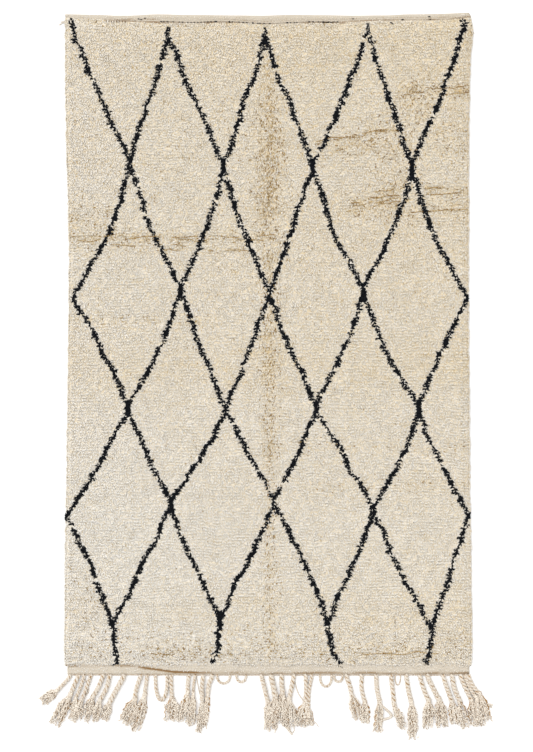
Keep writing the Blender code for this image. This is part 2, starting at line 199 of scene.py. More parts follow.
# Smooth unevenness: its strength in the unit of what it changes, the size of its
# features in metres and its seed.
NOISES = {
    "line_wander": (1.0, 0.050, 31),
    "line_breaks": (0.9, 0.030, 32),
    "ground_lumps": (0.0005, 0.030, 3),
    "broad_lumps": (0.0016, 0.170, 4),
    "small_lumps": (0.0003, 0.045, 5),
    "left_edge": (0.0030, 0.016, 18),
    "right_edge": (0.0030, 0.016, 19),
    "end_ripple": (0.0035, 0.014, 20),
    "end_wave": (0.0045, 0.075, 21),
    "fold_wander": (0.006, 0.070, 100),
    "fold_depth": (0.25, 0.090, 120),
    "crease_wave": (0.0060, 0.060, 140),
    "crease_ripple": (0.0034, 0.018, 141),
    "crease_gaps": (1.0, 0.045, 142),
    "crease_shade": (0.5, 0.030, 143),
    "leg_wave": (0.0080, 0.085, 50),
    "leg_ripple": (0.0045, 0.024, 51),
    "streaks": (1.0, 0.065, 16),
    "knot_tint": (0.02, 0.019, 17),
    "broad_tint": (0.03, 0.500, 7),
    "band_edge": (0.02, 0.250, 23),
    "row_wave": (0.0070, 0.060, 8),
    "row_ripple": (1.0, 0.021, 9),
    "row_order": (0.18, 0.070, 10),
    "coarseness": (0.25, 0.200, 14),
    "speck_patches": (1.2, 0.040, 15),
    "broad_sway": (0.18, 0.120, 1),
    "lock_sway": (0.16, 0.020, 2),
    "rim_reach": (0.0030, 0.012, 22),
    "valley_breaks": (1.0, 0.006, 60),
    "loose_twist": (0.9, 0.022, 61),
    "strip_wave": (0.0008, 0.020, 70),
}
NOISE_CELLS = 128

# The cloth's side edges: place along the rug, left edge, right edge.
EDGES = rows_of(("y", "left", "right"), [
    (-1111, -743, 757), (-1084, -743, 757), (-1077, -752, 765), (-1020, -753, 765),
    (-650, -750, 762), (-350, -745, 757), (100, -738, 753), (470, -735, 753), (620, -739, 753),
    (920, -746, 754), (1065, -749, 757), (1190, -750, 758), (1235, -750, 765),
    (1290, -750, 767), (1334, -750, 764), (1348, -750, 755),
])

# The hem's outer edge, slightly bowed: place across, set-back.
HEM_BOW = rows_of(("x", "back"), [
    (-750, -6), (-631, -4), (-560, -1), (-519, -1), (-407, -6), (-296, -4), (-128, -2),
    (-17, -1), (95, -4), (207, -3), (318, -1), (430, -2), (541, -6), (653, -8), (757, -12),
])

# Where the pile starts under the hem: place across, place along the rug.
PILE_START = rows_of(("x", "y"), [
    (-760, 1341), (-620, 1337), (-582, 1327), (-396, 1322), (-266, 1319), (-192, 1322),
    (-136, 1321), (2, 1315), (87, 1318), (162, 1321), (266, 1321), (322, 1325), (441, 1329),
    (672, 1331), (713, 1337), (770, 1343),
])

# Painted shadow lines, brown, on the bare cloth: each line's half width, where across
# the rug it starts and how long it fades in, and its strength between its breaks and
# how that changes in them.
SHADOW_LINES = {
    row["line"]: row
    for row in rows_of(("line", "half", "from_x", "fade", "steady", "breaks"), [
        ("under", 2.0, -620, 60, 0.45, 0.40),
        ("fold", 1.4, -620, 30, 0.40, 0.60),
        ("second", 1.3, -200, 50, 0.50, -0.35),
        ("seam", 4.0, -800, 10, 0.20, 0.50),
        ("folded_seam", 4.0, -500, 50, 1.30, 0.00),
    ])
}
UNDER_LINE = 0.0012          # the first line's middle above the pile's start,
SECOND_LINE = 0.0085         # the second line above the first,
FOLD_LINE = 0.013            # and the hem's fold from its outer edge
FOLD_END = -0.38             # where the fold's strong stretch ends and the seam's
FOLDED_SEAM_END = -0.20

# Where the seam runs along the band: place across, place along the rug.
SEAM = rows_of(("x", "y"), [
    (-740, -1080), (-510, -1079), (-460, -1086), (-345, -1103), (-240, -1105), (757, -1108),
])

# Troughs pressed into the pile where the rug was folded: a line from one point
# to the other, the trough's depth and half width, how far the tufts part, how many
# creases of painted shadow, thin and brown, run along it and how far apart, and how
# many dashes of painted shade are strewn over each metre of it.
TROUGHS = rows_of(("x0", "y0", "x1", "y1", "depth", "half", "parting", "creases", "gap",
                   "dashes"), [
    (8, 1180, 10, 1000, 1, 36, 0.22, 0, 10, 280),
    (10, 1000, 11, 850, 1, 44, 0.34, 0, 10, 860),
    (11, 850, 12, 600, 1, 46, 0.38, 0, 10, 1110),
    (12, 600, 14, 330, 1, 40, 0.28, 0, 10, 520),
    (14, 330, 15, -300, 2, 30, 0.36, 0, 10, 500),
    (15, -300, 15, -1070, 2, 24, 0.30, 0, 10, 260),
    (510, 1060, 480, 560, 1, 80, 0.12, 0, 10, 460),
    (-690, -700, -650, -1010, 1, 55, 0.14, 0, 10, 160),
    (-742, 580, -560, 572, 1, 60, 0.20, 0, 10, 370),
    (-730, 515, -124, 516, 3, 20, 0.40, 2, 13, 130),
    (-650, 484, -300, 476, 1, 20, 0.26, 2, 14, 50),
    (-300, 476, -60, 470, 1, 16, 0.18, 1, 10, 30),
    (-124, 510, 30, 520, 2, 22, 0.35, 2, 14, 160),
    (188, 872, 372, 902, 2, 12, 0.35, 2, 4, 50),
    (370, 908, 501, 917, 2, 10, 0.40, 2, 4, 50),
    (262, 846, 400, 872, 1, 38, 0.26, 2, 14, 300),
    (400, 868, 500, 872, 1, 36, 0.20, 0, 10, 250),
    (620, 880, 757, 880, 1, 60, 0.15, 0, 10, 290),
    (515, 1062, 757, 1068, 1, 30, 0.25, 2, 22, 210),
    (590, 704, 757, 703, 2, 12, 0.35, 2, 4, 70),
    (597, 678, 757, 688, 2, 10, 0.40, 1, 10, 70),
    (520, 1090, 620, 975, 1, 48, 0.18, 0, 10, 490),
    (404, 685, 553, 709, 2, 14, 0.35, 1, 10, 70),
    (318, 648, 486, 676, 1, 16, 0.35, 1, 10, 70),
    (300, 618, 500, 660, 1, 40, 0.26, 2, 14, 340),
    (540, 622, 757, 634, 1, 30, 0.25, 2, 20, 180),
    (-735, 203, -180, 206, 2, 24, 0.20, 0, 15, 60),
    (120, -262, 757, -254, 2, 26, 0.20, 0, 16, 50),
    (160, -402, 757, -408, 2, 26, 0.20, 0, 16, 50),
    (-430, -1030, -130, -1040, 2, 30, 0.28, 1, 13, 200),
    (200, -1036, 640, -1028, 2, 30, 0.20, 1, 14, 100),
    (-735, -1015, 757, -1012, 1, 55, 0.15, 0, 10, 210),
])

# Bands where the ivory wool is browner or paler: the middle's place along the rug,
# the half length and the change of shade.
BANDS = rows_of(("y", "half", "change"), [
    (960, 160, 0.04), (720, 60, 0.03), (40, 120, -0.08), (-560, 60, 0.02), (-880, 90, -0.07),
])

# The diamond lattice's crossings, row by row from the hem to the fringe, how far two
# lines run on as one below them, and how far the lines down to the left and down to
# the right bow out to the right.  The last row ends the stems.
LATTICE = [rows_of(("x", "y", "stem", "bow_left", "bow_right"), row) for row in [
    [(-695, 1234, 0, 0, -5), (-367, 1305, 28, 6, -5), (-6, 1307, 36, 5, -5),
     (378, 1320, 28, 16, -5), (737, 1316, 0, 14, 0)],
    [(-510, 795, 9, 27, -13), (-160, 780, 9, 13, -10), (172, 783, 9, 0, -22),
     (542, 783, 9, 19, -27)],
    [(-716, 296, 6, 0, 9), (-319, 322, 9, 16, -12), (11, 311, 9, 3, -5),
     (359, 322, 9, 10, -18), (746, 296, 6, -2, 0)],
    [(-516, -123, 9, 7, 0), (-151, -123, 9, 5, 0), (187, -120, 9, 0, 4),
     (566, -120, 9, 20, -13)],
    [(-739, -523, 6, 0, 8), (-357, -478, 9, 0, -6), (28, -473, 9, 0, 18),
     (398, -493, 9, 4, -9), (750, -515, 6, 0, 0)],
    [(-572, -929, 0, 0, 0), (-173, -910, 0, 8, 0), (229, -929, 0, 0, -12),
     (616, -951, 0, 8, 0)],
    [(-556, -1076, 0, 0, 0), (-197, -1070, 0, 0, 0), (277, -1085, 0, 0, 0),
     (594, -1076, 0, 0, 0)],
]]

# Short strokes of dark wool in the corners: both ends and the half width.
STROKES = rows_of(("x0", "y0", "x1", "y1", "half"), [
    (-739, 1328, -722, 1300, 4),
    (-722, 1300, -711, 1266, 5),
    (-727, 1333, -710, 1296, 4),
    (-721, 1254, -712, 1244, 7),
    (-706, 1252, -702, 1240, 3),
    (722, 1334, 729, 1324, 4),
    (736, 1330, 743, 1318, 5),
])

# Dark running stitches along the hem's edge: both ends and the yarn's width.
STITCHES = rows_of(("x0", "x1", "yarn"), [
    (-397, -390, 4), (-386, -381, 3), (-372, -366, 3), (-356, -340, 3), (-330, -319, 3),
    (-317, -309, 4), (-300, -188, 3), (-192, -184, 5), (-142, -134, 5), (-130, -125, 3),
    (-108, -98, 3), (-91, -83, 4), (-76, -71, 3), (-57, -46, 5), (-35, -30, 3), (-26, -22, 3),
    (-15, -3, 3), (5, 20, 3), (73, 82, 5), (86, 93, 3), (99, 118, 3), (152, 181, 4),
    (191, 197, 3), (207, 216, 4), (223, 240, 3), (249, 254, 3), (260, 269, 4),
])

# The fringe's plied cords: where each leaves the cloth, its neck, where the
# frayed head begins, and its tip, then the widths of the cord and the head.
CORDS = rows_of(("root_x", "neck_x", "neck_y", "tip_x", "tip_y", "cord", "head"), [
    (-733, -783, -1174, -839, -1214, 13, 34),
    (-702, -735, -1196, -791, -1301, 15, 44),
    (-680, -712, -1202, -722, -1270, 12, 26),
    (-655, -690, -1210, -722, -1282, 13, 34),
    (-609, -650, -1200, -679, -1284, 15, 34),
    (-584, -622, -1211, -640, -1288, 15, 32),
    (-530, -586, -1219, -607, -1281, 17, 32),
    (-469, -493, -1208, -530, -1293, 15, 46),
    (-445, -456, -1197, -489, -1318, 13, 38),
    (-356, -352, -1208, -352, -1282, 14, 58),
    (-290, -294, -1185, -312, -1286, 14, 34),
    (-267, -274, -1190, -281, -1300, 10, 24),
    (-237, -239, -1212, -254, -1323, 15, 22),
    (-203, -219, -1180, -232, -1304, 15, 20),
    (-19, 6, -1219, 4, -1290, 15, 26),
    (17, 33, -1200, 14, -1318, 18, 50),
    (56, 60, -1185, 48, -1296, 16, 46),
    (102, 84, -1210, 90, -1310, 15, 44),
    (147, 145, -1222, 124, -1305, 14, 46),
    (169, 156, -1237, 164, -1299, 12, 28),
    (298, 320, -1195, 345, -1281, 15, 38),
    (354, 368, -1219, 367, -1290, 14, 32),
    (408, 423, -1219, 413, -1325, 15, 30),
    (464, 477, -1228, 514, -1311, 15, 32),
    (520, 541, -1222, 547, -1349, 15, 36),
    (571, 606, -1214, 604, -1310, 15, 42),
    (599, 645, -1210, 656, -1309, 16, 44),
    (658, 693, -1216, 706, -1296, 15, 34),
    (691, 722, -1214, 744, -1311, 16, 32),
    (723, 767, -1212, 776, -1299, 15, 34),
    (740, 784, -1202, 800, -1300, 13, 34),
    (753, 797, -1190, 822, -1284, 14, 38),
])

# Uncut warp loops: both roots, how far they reach, and their yarn's width.
LOOPS = rows_of(("left_x", "right_x", "end_y", "yarn"), [
    (-414, -370, -1214, 17),
    (-184, -136, -1150, 12),
    (-112, -76, -1145, 12),
    (200, 243, -1162, 12),
    (252, 284, -1144, 11),
    (480, 500, -1154, 6),
])

# Loose threads by their wool: three points that each runs through, and its width.
THREAD_COLUMNS = ("x0", "y0", "x1", "y1", "x2", "y2", "yarn")
THREADS = {
    "brown": rows_of(THREAD_COLUMNS, [
        (-597, 1328, -597, 1325, -597, 1322, 2), (-587, 1328, -588, 1325, -588, 1322, 2),
        (-578, 1327, -578, 1325, -579, 1321, 3), (-568, 1327, -568, 1324, -567, 1321, 2),
        (-559, 1328, -559, 1324, -558, 1320, 3), (-548, 1327, -548, 1325, -549, 1321, 2),
        (-538, 1327, -538, 1324, -538, 1321, 2), (-527, 1326, -527, 1324, -526, 1320, 3),
    ]),
    "dark": rows_of(THREAD_COLUMNS, [
        (-480, 1334, -477, 1334, -474, 1333, 3), (-470, 1332, -467, 1331, -464, 1331, 3),
        (-457, 1336, -453, 1336, -450, 1337, 3), (319, 1334, 322, 1334, 326, 1334, 3),
        (461, 1321, 466, 1319, 472, 1315, 4), (503, 1331, 507, 1331, 512, 1332, 4),
        (603, 1343, 606, 1342, 611, 1342, 4), (607, 1332, 610, 1332, 613, 1331, 3),
    ]),
    "pale": rows_of(THREAD_COLUMNS, [
        (-750, 1322, -762, 1320, -774, 1312, 4), (-748, 1330, -758, 1325, -768, 1324, 3),
        (-752, 1346, -747, 1349, -740, 1346, 8), (725, 1348, 733, 1350, 741, 1348, 8),
        (764, 1293, 770, 1286, 775, 1280, 4), (-515, -1270, -508, -1295, -500, -1318, 4),
        (-489, -1268, -484, -1292, -480, -1308, 4), (95, -1293, 104, -1319, 91, -1338, 3),
        (86, -1212, 44, -1262, 96, -1336, 8), (22, -1216, 62, -1258, 68, -1302, 8),
        (58, -1200, 92, -1252, 118, -1290, 7), (106, -1140, 118, -1180, 138, -1212, 4),
        (166, -1278, 184, -1293, 194, -1308, 3), (425, -1223, 466, -1266, 424, -1284, 9),
        (-262, -1112, -248, -1185, -233, -1112, 3), (-683, -1115, -664, -1174, -694, -1204, 4),
        (806, -1214, 828, -1222, 845, -1226, 6), (806, -1230, 830, -1228, 842, -1236, 5),
        (810, -1244, 826, -1240, 838, -1224, 5),
    ]),
}

# The wool's screen colours at its tips and its roots by its shade, which runs from
# brown over ivory to the dark wool: shade, red, green, blue.  The roots are darker and
# browner as painted shade deep in the pile; the brown end colours the brown specks and
# the painted shadow along creases and shadow lines.
WOOL_TIPS = [
    (0.00, 140, 103, 48), (0.03, 155, 118, 60), (0.08, 203, 178, 127), (0.13, 222, 204, 170),
    (0.30, 231, 222, 205), (0.55, 234, 229, 221), (0.82, 238, 236, 232), (0.87, 14, 16, 20),
    (1.00, 28, 31, 36),
]
WOOL_SHADED_ROOTS = [
    (0.00, 103, 74, 34), (0.08, 154, 123, 71), (0.13, 183, 152, 96), (0.30, 208, 186, 142),
    (0.55, 214, 200, 172), (0.82, 221, 212, 196), (0.87, 8, 10, 13), (1.00, 16, 18, 22),
]

# The yarns' screen colours, from the lit outside to the valley between the plies, whose
# colour is painted shade, and their flecks' level: the lower, the more brown flecks a yarn has.
YARNS = rows_of(("yarn", "light", "shade", "warm", "valley", "flecks"), [
    ("pale", (229, 225, 217), (215, 208, 196), (178, 144, 98), (112, 78, 42), 0.59),
    ("brown", (112, 84, 54), (88, 64, 38), (76, 56, 34), (60, 44, 28), 0.59),
    ("dark", (26, 28, 32), (18, 20, 24), (16, 18, 22), (10, 11, 14), 0.59),
    ("frayed", (243, 238, 228), (231, 222, 207), (184, 148, 100), (112, 76, 38), 0.54),
])

# Screen colours of the ground (light, dull, flecks, and the brown of its painted shade
# along the shadow lines and under the pile) and of its back (light, dull, knots).
GROUND_COLOURS = [(214, 207, 196), (194, 184, 168), (178, 160, 130), (130, 98, 58)]
BACK_COLOURS = [(224, 212, 188), (196, 180, 150), (170, 150, 116)]
FLOOR_COLOUR = (250, 250, 250)
WOOL_ROUGHNESS = 0.95
SHEEN_ROUGHNESS = 0.5

# ---- Small tools ----


def ease(share):
    """A smooth step from 0 to 1."""
    share = np.clip(share, 0.0, 1.0)
    return share * share * (3.0 - 2.0 * share)


def bell(offset, width):
    """A smooth bump, 1 where the offset is 0."""
    return np.exp(-(offset / width) ** 2)


def unit(vectors):
    """The vectors scaled to a length of 1."""
    return vectors / (np.linalg.norm(vectors, axis=-1, keepdims=True) + 1e-12)


def noise(name, x, y=0.0, number=0):
    """Smooth noise around 0 with the strength and the size that the name has."""
    strength, size, seed = NOISES[name]
    cells = np.random.default_rng(seed + number).uniform(-1.0, 1.0, (NOISE_CELLS, NOISE_CELLS))
    column, row = np.floor(x / size).astype(int), np.floor(y / size).astype(int)
    across, along = ease(x / size - column), ease(y / size - row)
    column, row = column % NOISE_CELLS, row % NOISE_CELLS
    next_column, next_row = (column + 1) % NOISE_CELLS, (row + 1) % NOISE_CELLS
    near = cells[row, column] * (1.0 - across) + cells[row, next_column] * across
    far = cells[next_row, column] * (1.0 - across) + cells[next_row, next_column] * across
    return strength * (near * (1.0 - along) + far * along)


def read_table(rows, key, place, column):
    """Values of one column at places in metres, eased between the table's rows."""
    keys = np.array([row[key] for row in rows]) * MM
    values = np.array([row[column] for row in rows]) * MM
    place = np.clip(place, keys[0], keys[-1])
    after = np.clip(np.searchsorted(keys, place), 1, len(keys) - 1)
    share = ease((place - keys[after - 1]) / (keys[after] - keys[after - 1]))
    return values[after - 1] + (values[after] - values[after - 1]) * share


def side_edges(y):
    """Left and right edge of the cloth at places along the rug."""
    return read_table(EDGES, "y", y, "left"), read_table(EDGES, "y", y, "right")


def hem_edge(x):
    """The hem's outer edge at places across the rug."""
    return CLOTH_TOP_Y - read_table(HEM_BOW, "x", x, "back")


def pile_start(x):
    """Where the pile starts under the hem at places across the rug."""
    return read_table(PILE_START, "x", x, "y")


def line_of(row):
    """Where a table's line starts, the way it runs and its length."""
    start = np.array([row["x0"], row["y0"]]) * MM
    along = np.array([row["x1"], row["y1"]]) * MM - start
    return start, unit(along), np.linalg.norm(along)


def from_line(x, y, row):
    """How far places lie to the left of a table's line, and how far past its ends."""
    start, along, reach = line_of(row)
    place = (x - start[0]) * along[0] + (y - start[1]) * along[1]
    offset = (y - start[1]) * along[0] - (x - start[0]) * along[1]
    return offset, place - np.clip(place, 0.0, reach)


def grid_faces(index):
    """The corners of the faces between the points of a grid."""
    return np.stack([index[1:, :-1], index[1:, 1:], index[:-1, 1:], index[:-1, :-1]],
                    -1).reshape(-1, 4)


def new_piece(name, points, faces, material, uvs=None, tone=None):
    """A smooth mesh object from arrays: faces has one array for each number of corners."""
    mesh = bpy.data.meshes.new(name)
    corners = np.concatenate([part.ravel() for part in faces]).astype(np.int32)
    sizes = np.concatenate([np.full(len(part), part.shape[1]) for part in faces])
    starts = np.concatenate([[0], np.cumsum(sizes)[:-1]]).astype(np.int32)
    mesh.vertices.add(len(points))
    mesh.vertices.foreach_set("co", np.asarray(points, dtype=np.float32).ravel())
    mesh.loops.add(len(corners))
    mesh.loops.foreach_set("vertex_index", corners)
    mesh.polygons.add(len(sizes))
    mesh.polygons.foreach_set("loop_start", starts)
    mesh.update(calc_edges=True)
    if uvs is not None:
        layer = mesh.uv_layers.new(name="OFBake")
        layer.data.foreach_set("uv", np.asarray(uvs, dtype=np.float32)[corners].ravel())
    if tone is not None:
        layer = mesh.attributes.new("tone", "FLOAT", "POINT")
        layer.data.foreach_set("value", np.asarray(tone, dtype=np.float32))
    mesh.materials.append(material)
    mesh.shade_smooth()
    piece = bpy.data.objects.new(name, mesh)
    bpy.context.scene.collection.objects.link(piece)
    return piece


# ---- Materials ----


def colour(red, green, blue):
    """A screen colour, 0 to 255, as the linear colour that a shader takes."""
    screen = np.array([red, green, blue]) / 255.0
    linear = np.where(screen <= 0.04045, screen / 12.92, ((screen + 0.055) / 1.055) ** 2.4)
    return (*[float(value) for value in linear], 1.0)


class Shader:
    """A woollen material whose nodes are added one by one and wired as they are made."""

    def __init__(self, name, sheen, specular):
        self.material = bpy.data.materials.new(name)
        self.material.use_nodes = True
        self.tree = self.material.node_tree
        self.main = self.tree.nodes["Principled BSDF"]
        settings = {"Roughness": WOOL_ROUGHNESS, "Sheen Weight": sheen,
                    "Sheen Roughness": SHEEN_ROUGHNESS, "Specular IOR Level": specular}
        for socket, value in settings.items():
            self.main.inputs[socket].default_value = value

    def put(self, value, socket):
        """Links a node's output to a socket, or sets the socket to a value."""
        if isinstance(value, bpy.types.NodeSocket):
            self.tree.links.new(value, socket)
        else:
            socket.default_value = value

    def add(self, kind, inputs=None, **settings):
        """A node with its settings; an input is a value or another node's output."""
        node = self.tree.nodes.new(kind)
        for name, value in settings.items():
            setattr(node, name, value)
        for name, value in (inputs or {}).items():
            self.put(value, node.inputs[name])
        return node

    def math(self, operation, first, second=0.0, clamp=False):
        """A sum, product or the like of values and sockets."""
        return self.add("ShaderNodeMath", {0: first, 1: second}, operation=operation,
                        use_clamp=clamp).outputs[0]

    def mix(self, share, first, second):
        """Two colours mixed by a share."""
        node = self.add("ShaderNodeMix", {"Factor": share, 6: first, 7: second},
                        data_type="RGBA")
        return node.outputs[2]

    def ramp(self, share, stops):
        """Colours by place along a ramp."""
        node = self.add("ShaderNodeValToRGB", {"Fac": share})
        elements = node.color_ramp.elements
        while len(elements) < len(stops):
            elements.new(0.5)
        for element, (place, *screen) in zip(elements, stops):
            element.position = place
            element.color = colour(*screen)
        return node.outputs["Color"]

    def place(self):
        """Where on the object a point lies."""
        return self.add("ShaderNodeTexCoord").outputs["Object"]

    def tone(self):
        """The tone that the mesh's points carry."""
        return self.add("ShaderNodeAttribute", attribute_name="tone").outputs["Fac"]

    def wave(self, axis, pitch):
        """Even waves along one axis of the object."""
        split = self.add("ShaderNodeSeparateXYZ", {"Vector": self.place()})
        return self.math("SINE", self.math("MULTIPLY", split.outputs[axis], TURN / pitch))

    def noise(self, scale, detail):
        """Fractal noise of a scale, in features to a metre."""
        return self.add("ShaderNodeTexNoise", {"Vector": self.place(), "Scale": scale,
                                               "Detail": detail}).outputs["Fac"]

    def fit(self, value, low, high, **settings):
        """A value's share of the way from low to high."""
        return self.add("ShaderNodeMapRange", {"Value": value, "From Min": low,
                                               "From Max": high}, **settings).outputs["Result"]

    def finish(self, base, height=None, bump=0.0, depth=0.001):
        """Wires the colour and the bump to the surface."""
        self.tree.links.new(base, self.main.inputs["Base Color"])
        if height is not None:
            node = self.add("ShaderNodeBump",
                            {"Height": height, "Strength": bump, "Distance": depth})
            self.tree.links.new(node.outputs["Normal"], self.main.inputs["Normal"])
        return self.material


def wool_material():
    """Wool whose colour goes by the tuft's shade (u) and its height (v), darker low down as
    painted shade.
    """
    wool = Shader("wool_pile", sheen=0.02, specular=0.04)
    place = wool.add("ShaderNodeUVMap", uv_map="OFBake").outputs["UV"]
    split = wool.add("ShaderNodeSeparateXYZ", {"Vector": place})
    tips = wool.ramp(split.outputs["X"], WOOL_TIPS)
    roots = wool.ramp(split.outputs["X"], WOOL_SHADED_ROOTS)
    rise = wool.fit(split.outputs["Y"], 0.1, 0.8, interpolation_type="SMOOTHSTEP")
    return wool.finish(wool.mix(rise, roots, tips))


def ground_material():
    """Plain-woven wool, browned by painted shade: shadow lines at its edges, shade under the pile.
    """
    weave = Shader("woven_ground", sheen=0.02, specular=0.04)
    light, dull, fleck_colour, brown = (colour(*screen) for screen in GROUND_COLOURS)
    fleck = weave.noise(scale=420.0, detail=2.0)
    base = weave.mix(weave.noise(scale=22.0, detail=4.0), dull, light)
    base = weave.mix(weave.math("MULTIPLY", fleck, 0.50), base, fleck_colour)
    # The points' tone is painted shade: the shadow lines and the shade under the pile.
    base = weave.mix(weave.tone(), base, brown)
    cloth = weave.math("MULTIPLY", weave.wave("X", WARP_PITCH), weave.wave("Y", WEFT_PITCH))
    return weave.finish(base, weave.math("ADD", cloth, fleck), bump=0.5, depth=0.0008)


def back_material():
    """The underside: close ribs of weft with the knots showing through."""
    back = Shader("woven_back", sheen=0.1, specular=0.2)
    light, dull, knot_colour = (colour(*screen) for screen in BACK_COLOURS)
    knots = back.math("MULTIPLY", back.wave("Y", KNOT_ROW_PITCH), back.wave("X", KNOT_PITCH))
    fleck = back.noise(scale=300.0, detail=3.0)
    base = back.mix(back.math("MULTIPLY", knots, 0.4, clamp=True),
                    back.mix(fleck, dull, light), knot_colour)
    return back.finish(base, back.math("ADD", knots, fleck), bump=0.6, depth=0.001)


def yarn_material(row):
    """Plied yarn: its tone goes from the lit outside over warm to the deep valley's painted shade.
    """
    yarn = Shader(f"yarn_{row['yarn']}", sheen=0.04, specular=0.06)
    light, shade, warm, valley = (colour(*row[part])
                                  for part in ("light", "shade", "warm", "valley"))
    base = yarn.mix(yarn.noise(scale=90.0, detail=3.0), shade, light)
    fleck = yarn.fit(yarn.noise(scale=260.0, detail=2.0), row["flecks"], row["flecks"] + 0.05)
    base = yarn.mix(yarn.math("MULTIPLY", fleck, 0.80), base, valley)
    # The tone, mostly painted shade in the plies' valleys and deep in the heads, turns the colour
    # warm, then to the valley's.
    tone = yarn.tone()
    base = yarn.mix(yarn.math("MULTIPLY", tone, 2.0, clamp=True), base, warm)
    deep = yarn.math("SUBTRACT", yarn.math("MULTIPLY", tone, 2.0), 1.0, clamp=True)
    base = yarn.mix(deep, base, valley)
    return yarn.finish(base, yarn.noise(scale=700.0, detail=2.0), bump=0.4, depth=0.0006)


# ---- The ground ----


def ground_rows():
    """Places of the ground's rows, hem first: fine in the hem and the band."""
    hem_end = CLOTH_TOP_Y - HEM_LENGTH - EDGE_ROUNDING
    band_start = PILE_END_Y + 3.0 * EDGE_ROUNDING
    hem = np.arange(CLOTH_TOP_Y, hem_end, -FINE_ROW)
    middle = np.linspace(hem_end, band_start, round((hem_end - band_start) / COARSE_ROW))
    band = np.linspace(band_start, CLOTH_END_Y, round((band_start - CLOTH_END_Y) / FINE_ROW))
    return np.concatenate([hem, middle[:-1], band])


def shadow_lines(x, y):
    """How strongly the ground is painted with shadow: under the hem, along its fold and the band.
    """
    wander = noise("line_wander", x, y)
    breaks = ease(0.55 + noise("line_breaks", x))

    def line(name, middle):
        """One line along the rug's width, around its middle's places."""
        row = SHADOW_LINES[name]
        fade = ease((x - row["from_x"] * MM) / (row["fade"] * MM))
        return bell(y - middle, row["half"] * MM) * fade * (row["steady"] + row["breaks"] * breaks)

    under_y = pile_start(x) + UNDER_LINE
    fold = line("fold", CLOTH_TOP_Y - FOLD_LINE + 0.0006 * wander)
    second = line("second", under_y + SECOND_LINE + 0.001 * wander)
    seam_y = np.interp(x / MM, *([row[key] for row in SEAM] for key in ("x", "y"))) * MM
    seam_y = seam_y + 0.0018 * wander
    folded_seam = line("folded_seam", seam_y) * ease((FOLDED_SEAM_END - x) / 0.08)
    return np.clip(np.maximum.reduce([
        line("under", under_y), fold * (0.20 + 0.60 * ease((FOLD_END - x) / 0.05)), second,
        line("seam", seam_y), folded_seam]), 0.0, 1.0)


def ground_top(x, y):
    """Height of the ground's upper side: flat, a little uneven, the hem plump."""
    hem_share = np.clip((hem_edge(x) - y) / HEM_LENGTH, 0.0, 1.0)
    swell = HEM_PLUMPNESS * np.sin(math.pi * hem_share) + noise("ground_lumps", x, y)
    return GROUND_THICKNESS + swell - LINE_DEPTH * shadow_lines(x, y)


def make_ground():
    """The woven ground as one thin closed sheet, its hem plump and turned."""
    rows = ground_rows()
    left, right = (edge[:, None] for edge in side_edges(rows))
    x = left + (right - left) * np.linspace(0.0, 1.0, GROUND_COLUMNS + 1)
    y = np.broadcast_to(rows[:, None], x.shape)
    edge = hem_edge(x)
    y = y - (CLOTH_TOP_Y - edge) * ease((y - CLOTH_TOP_Y + HEM_LENGTH) / HEM_LENGTH)
    from_rim = np.minimum.reduce([x - left, right - x, edge - y, y - CLOTH_END_Y])
    rounded = np.sqrt(1.0 - (1.0 - np.clip(from_rim / EDGE_ROUNDING, 0.0, 1.0)) ** 2)
    top = ground_top(x, y) * rounded + 0.5 * GROUND_THICKNESS * (1.0 - rounded)
    # Painted shade: brown under the pile, where the ground shows between the tufts, and the shadow
    # lines.
    under_pile = ease((inside_pile(x, y) - PILE_PAINTED_SHADE_WIDTH) / PILE_PAINTED_SHADE_WIDTH)
    tone = np.maximum(shadow_lines(x, y), PILE_PAINTED_SHADE * under_pile)
    points = np.concatenate([np.stack([x, y, z], -1).reshape(-1, 3)
                             for z in (top, np.full_like(top, UNDERSIDE))])
    index = np.arange(x.size).reshape(x.shape)
    above = grid_faces(index)
    rim = np.concatenate([index[0, :-1], index[:-1, -1], index[-1, :0:-1], index[:0:-1, 0]])
    following = np.roll(rim, -1)
    wall = np.stack([following, rim, rim + x.size, following + x.size], -1)[:, ::-1]
    faces = [above, wall, above[:, ::-1] + x.size]
    piece = new_piece("woven_ground", points, faces, ground_material(),
                      tone=np.concatenate([tone.ravel(), np.zeros(x.size)]))
    piece.data.materials.append(back_material())
    slots = np.repeat([0, 0, 1], [len(part) for part in faces]).astype(np.int32)
    piece.data.polygons.foreach_set("material_index", slots)
    return piece


# ---- The pile ----


def beside(start, along, place, offset):
    """Points at places along a line and set off to its left."""
    return start + place[:, None] * along + np.outer(offset, [-along[1], along[0]])


def troughs(x, y):
    """The folds pressed into the pile at places.

    Gives their depth, how far they are open and how they part the pile.
    """
    depth, openness, part_x, part_y = (np.zeros_like(x) for _ in range(4))
    for number, row in enumerate(TROUGHS):
        offset, past = from_line(x, y, row)
        offset = offset + noise("fold_wander", x, y, number)
        away = np.hypot(offset, past)
        half = row["half"] * MM
        near = bell(away, half) * (0.8 + noise("fold_depth", x, y, number))
        depth = np.maximum(depth, row["depth"] * MM * near)
        openness = np.maximum(openness, row["parting"] * near)
        push = row["parting"] * near * np.clip(away / (0.3 * half), 0.0, 1.0) * np.sign(offset)
        along = line_of(row)[1]
        part_x -= push * along[1]
        part_y += push * along[0]
    return {"depth": depth, "openness": openness, "part_x": part_x, "part_y": part_y}


def inside_pile(x, y):
    """How far places lie inside the pile's outline."""
    left, right = side_edges(y)
    left = left + noise("left_edge", y)
    right = right + noise("right_edge", y)
    end = PILE_END_Y + noise("end_ripple", x) + noise("end_wave", x)
    return np.minimum.reduce([x - left, right - x, pile_start(x) - y, y - end])


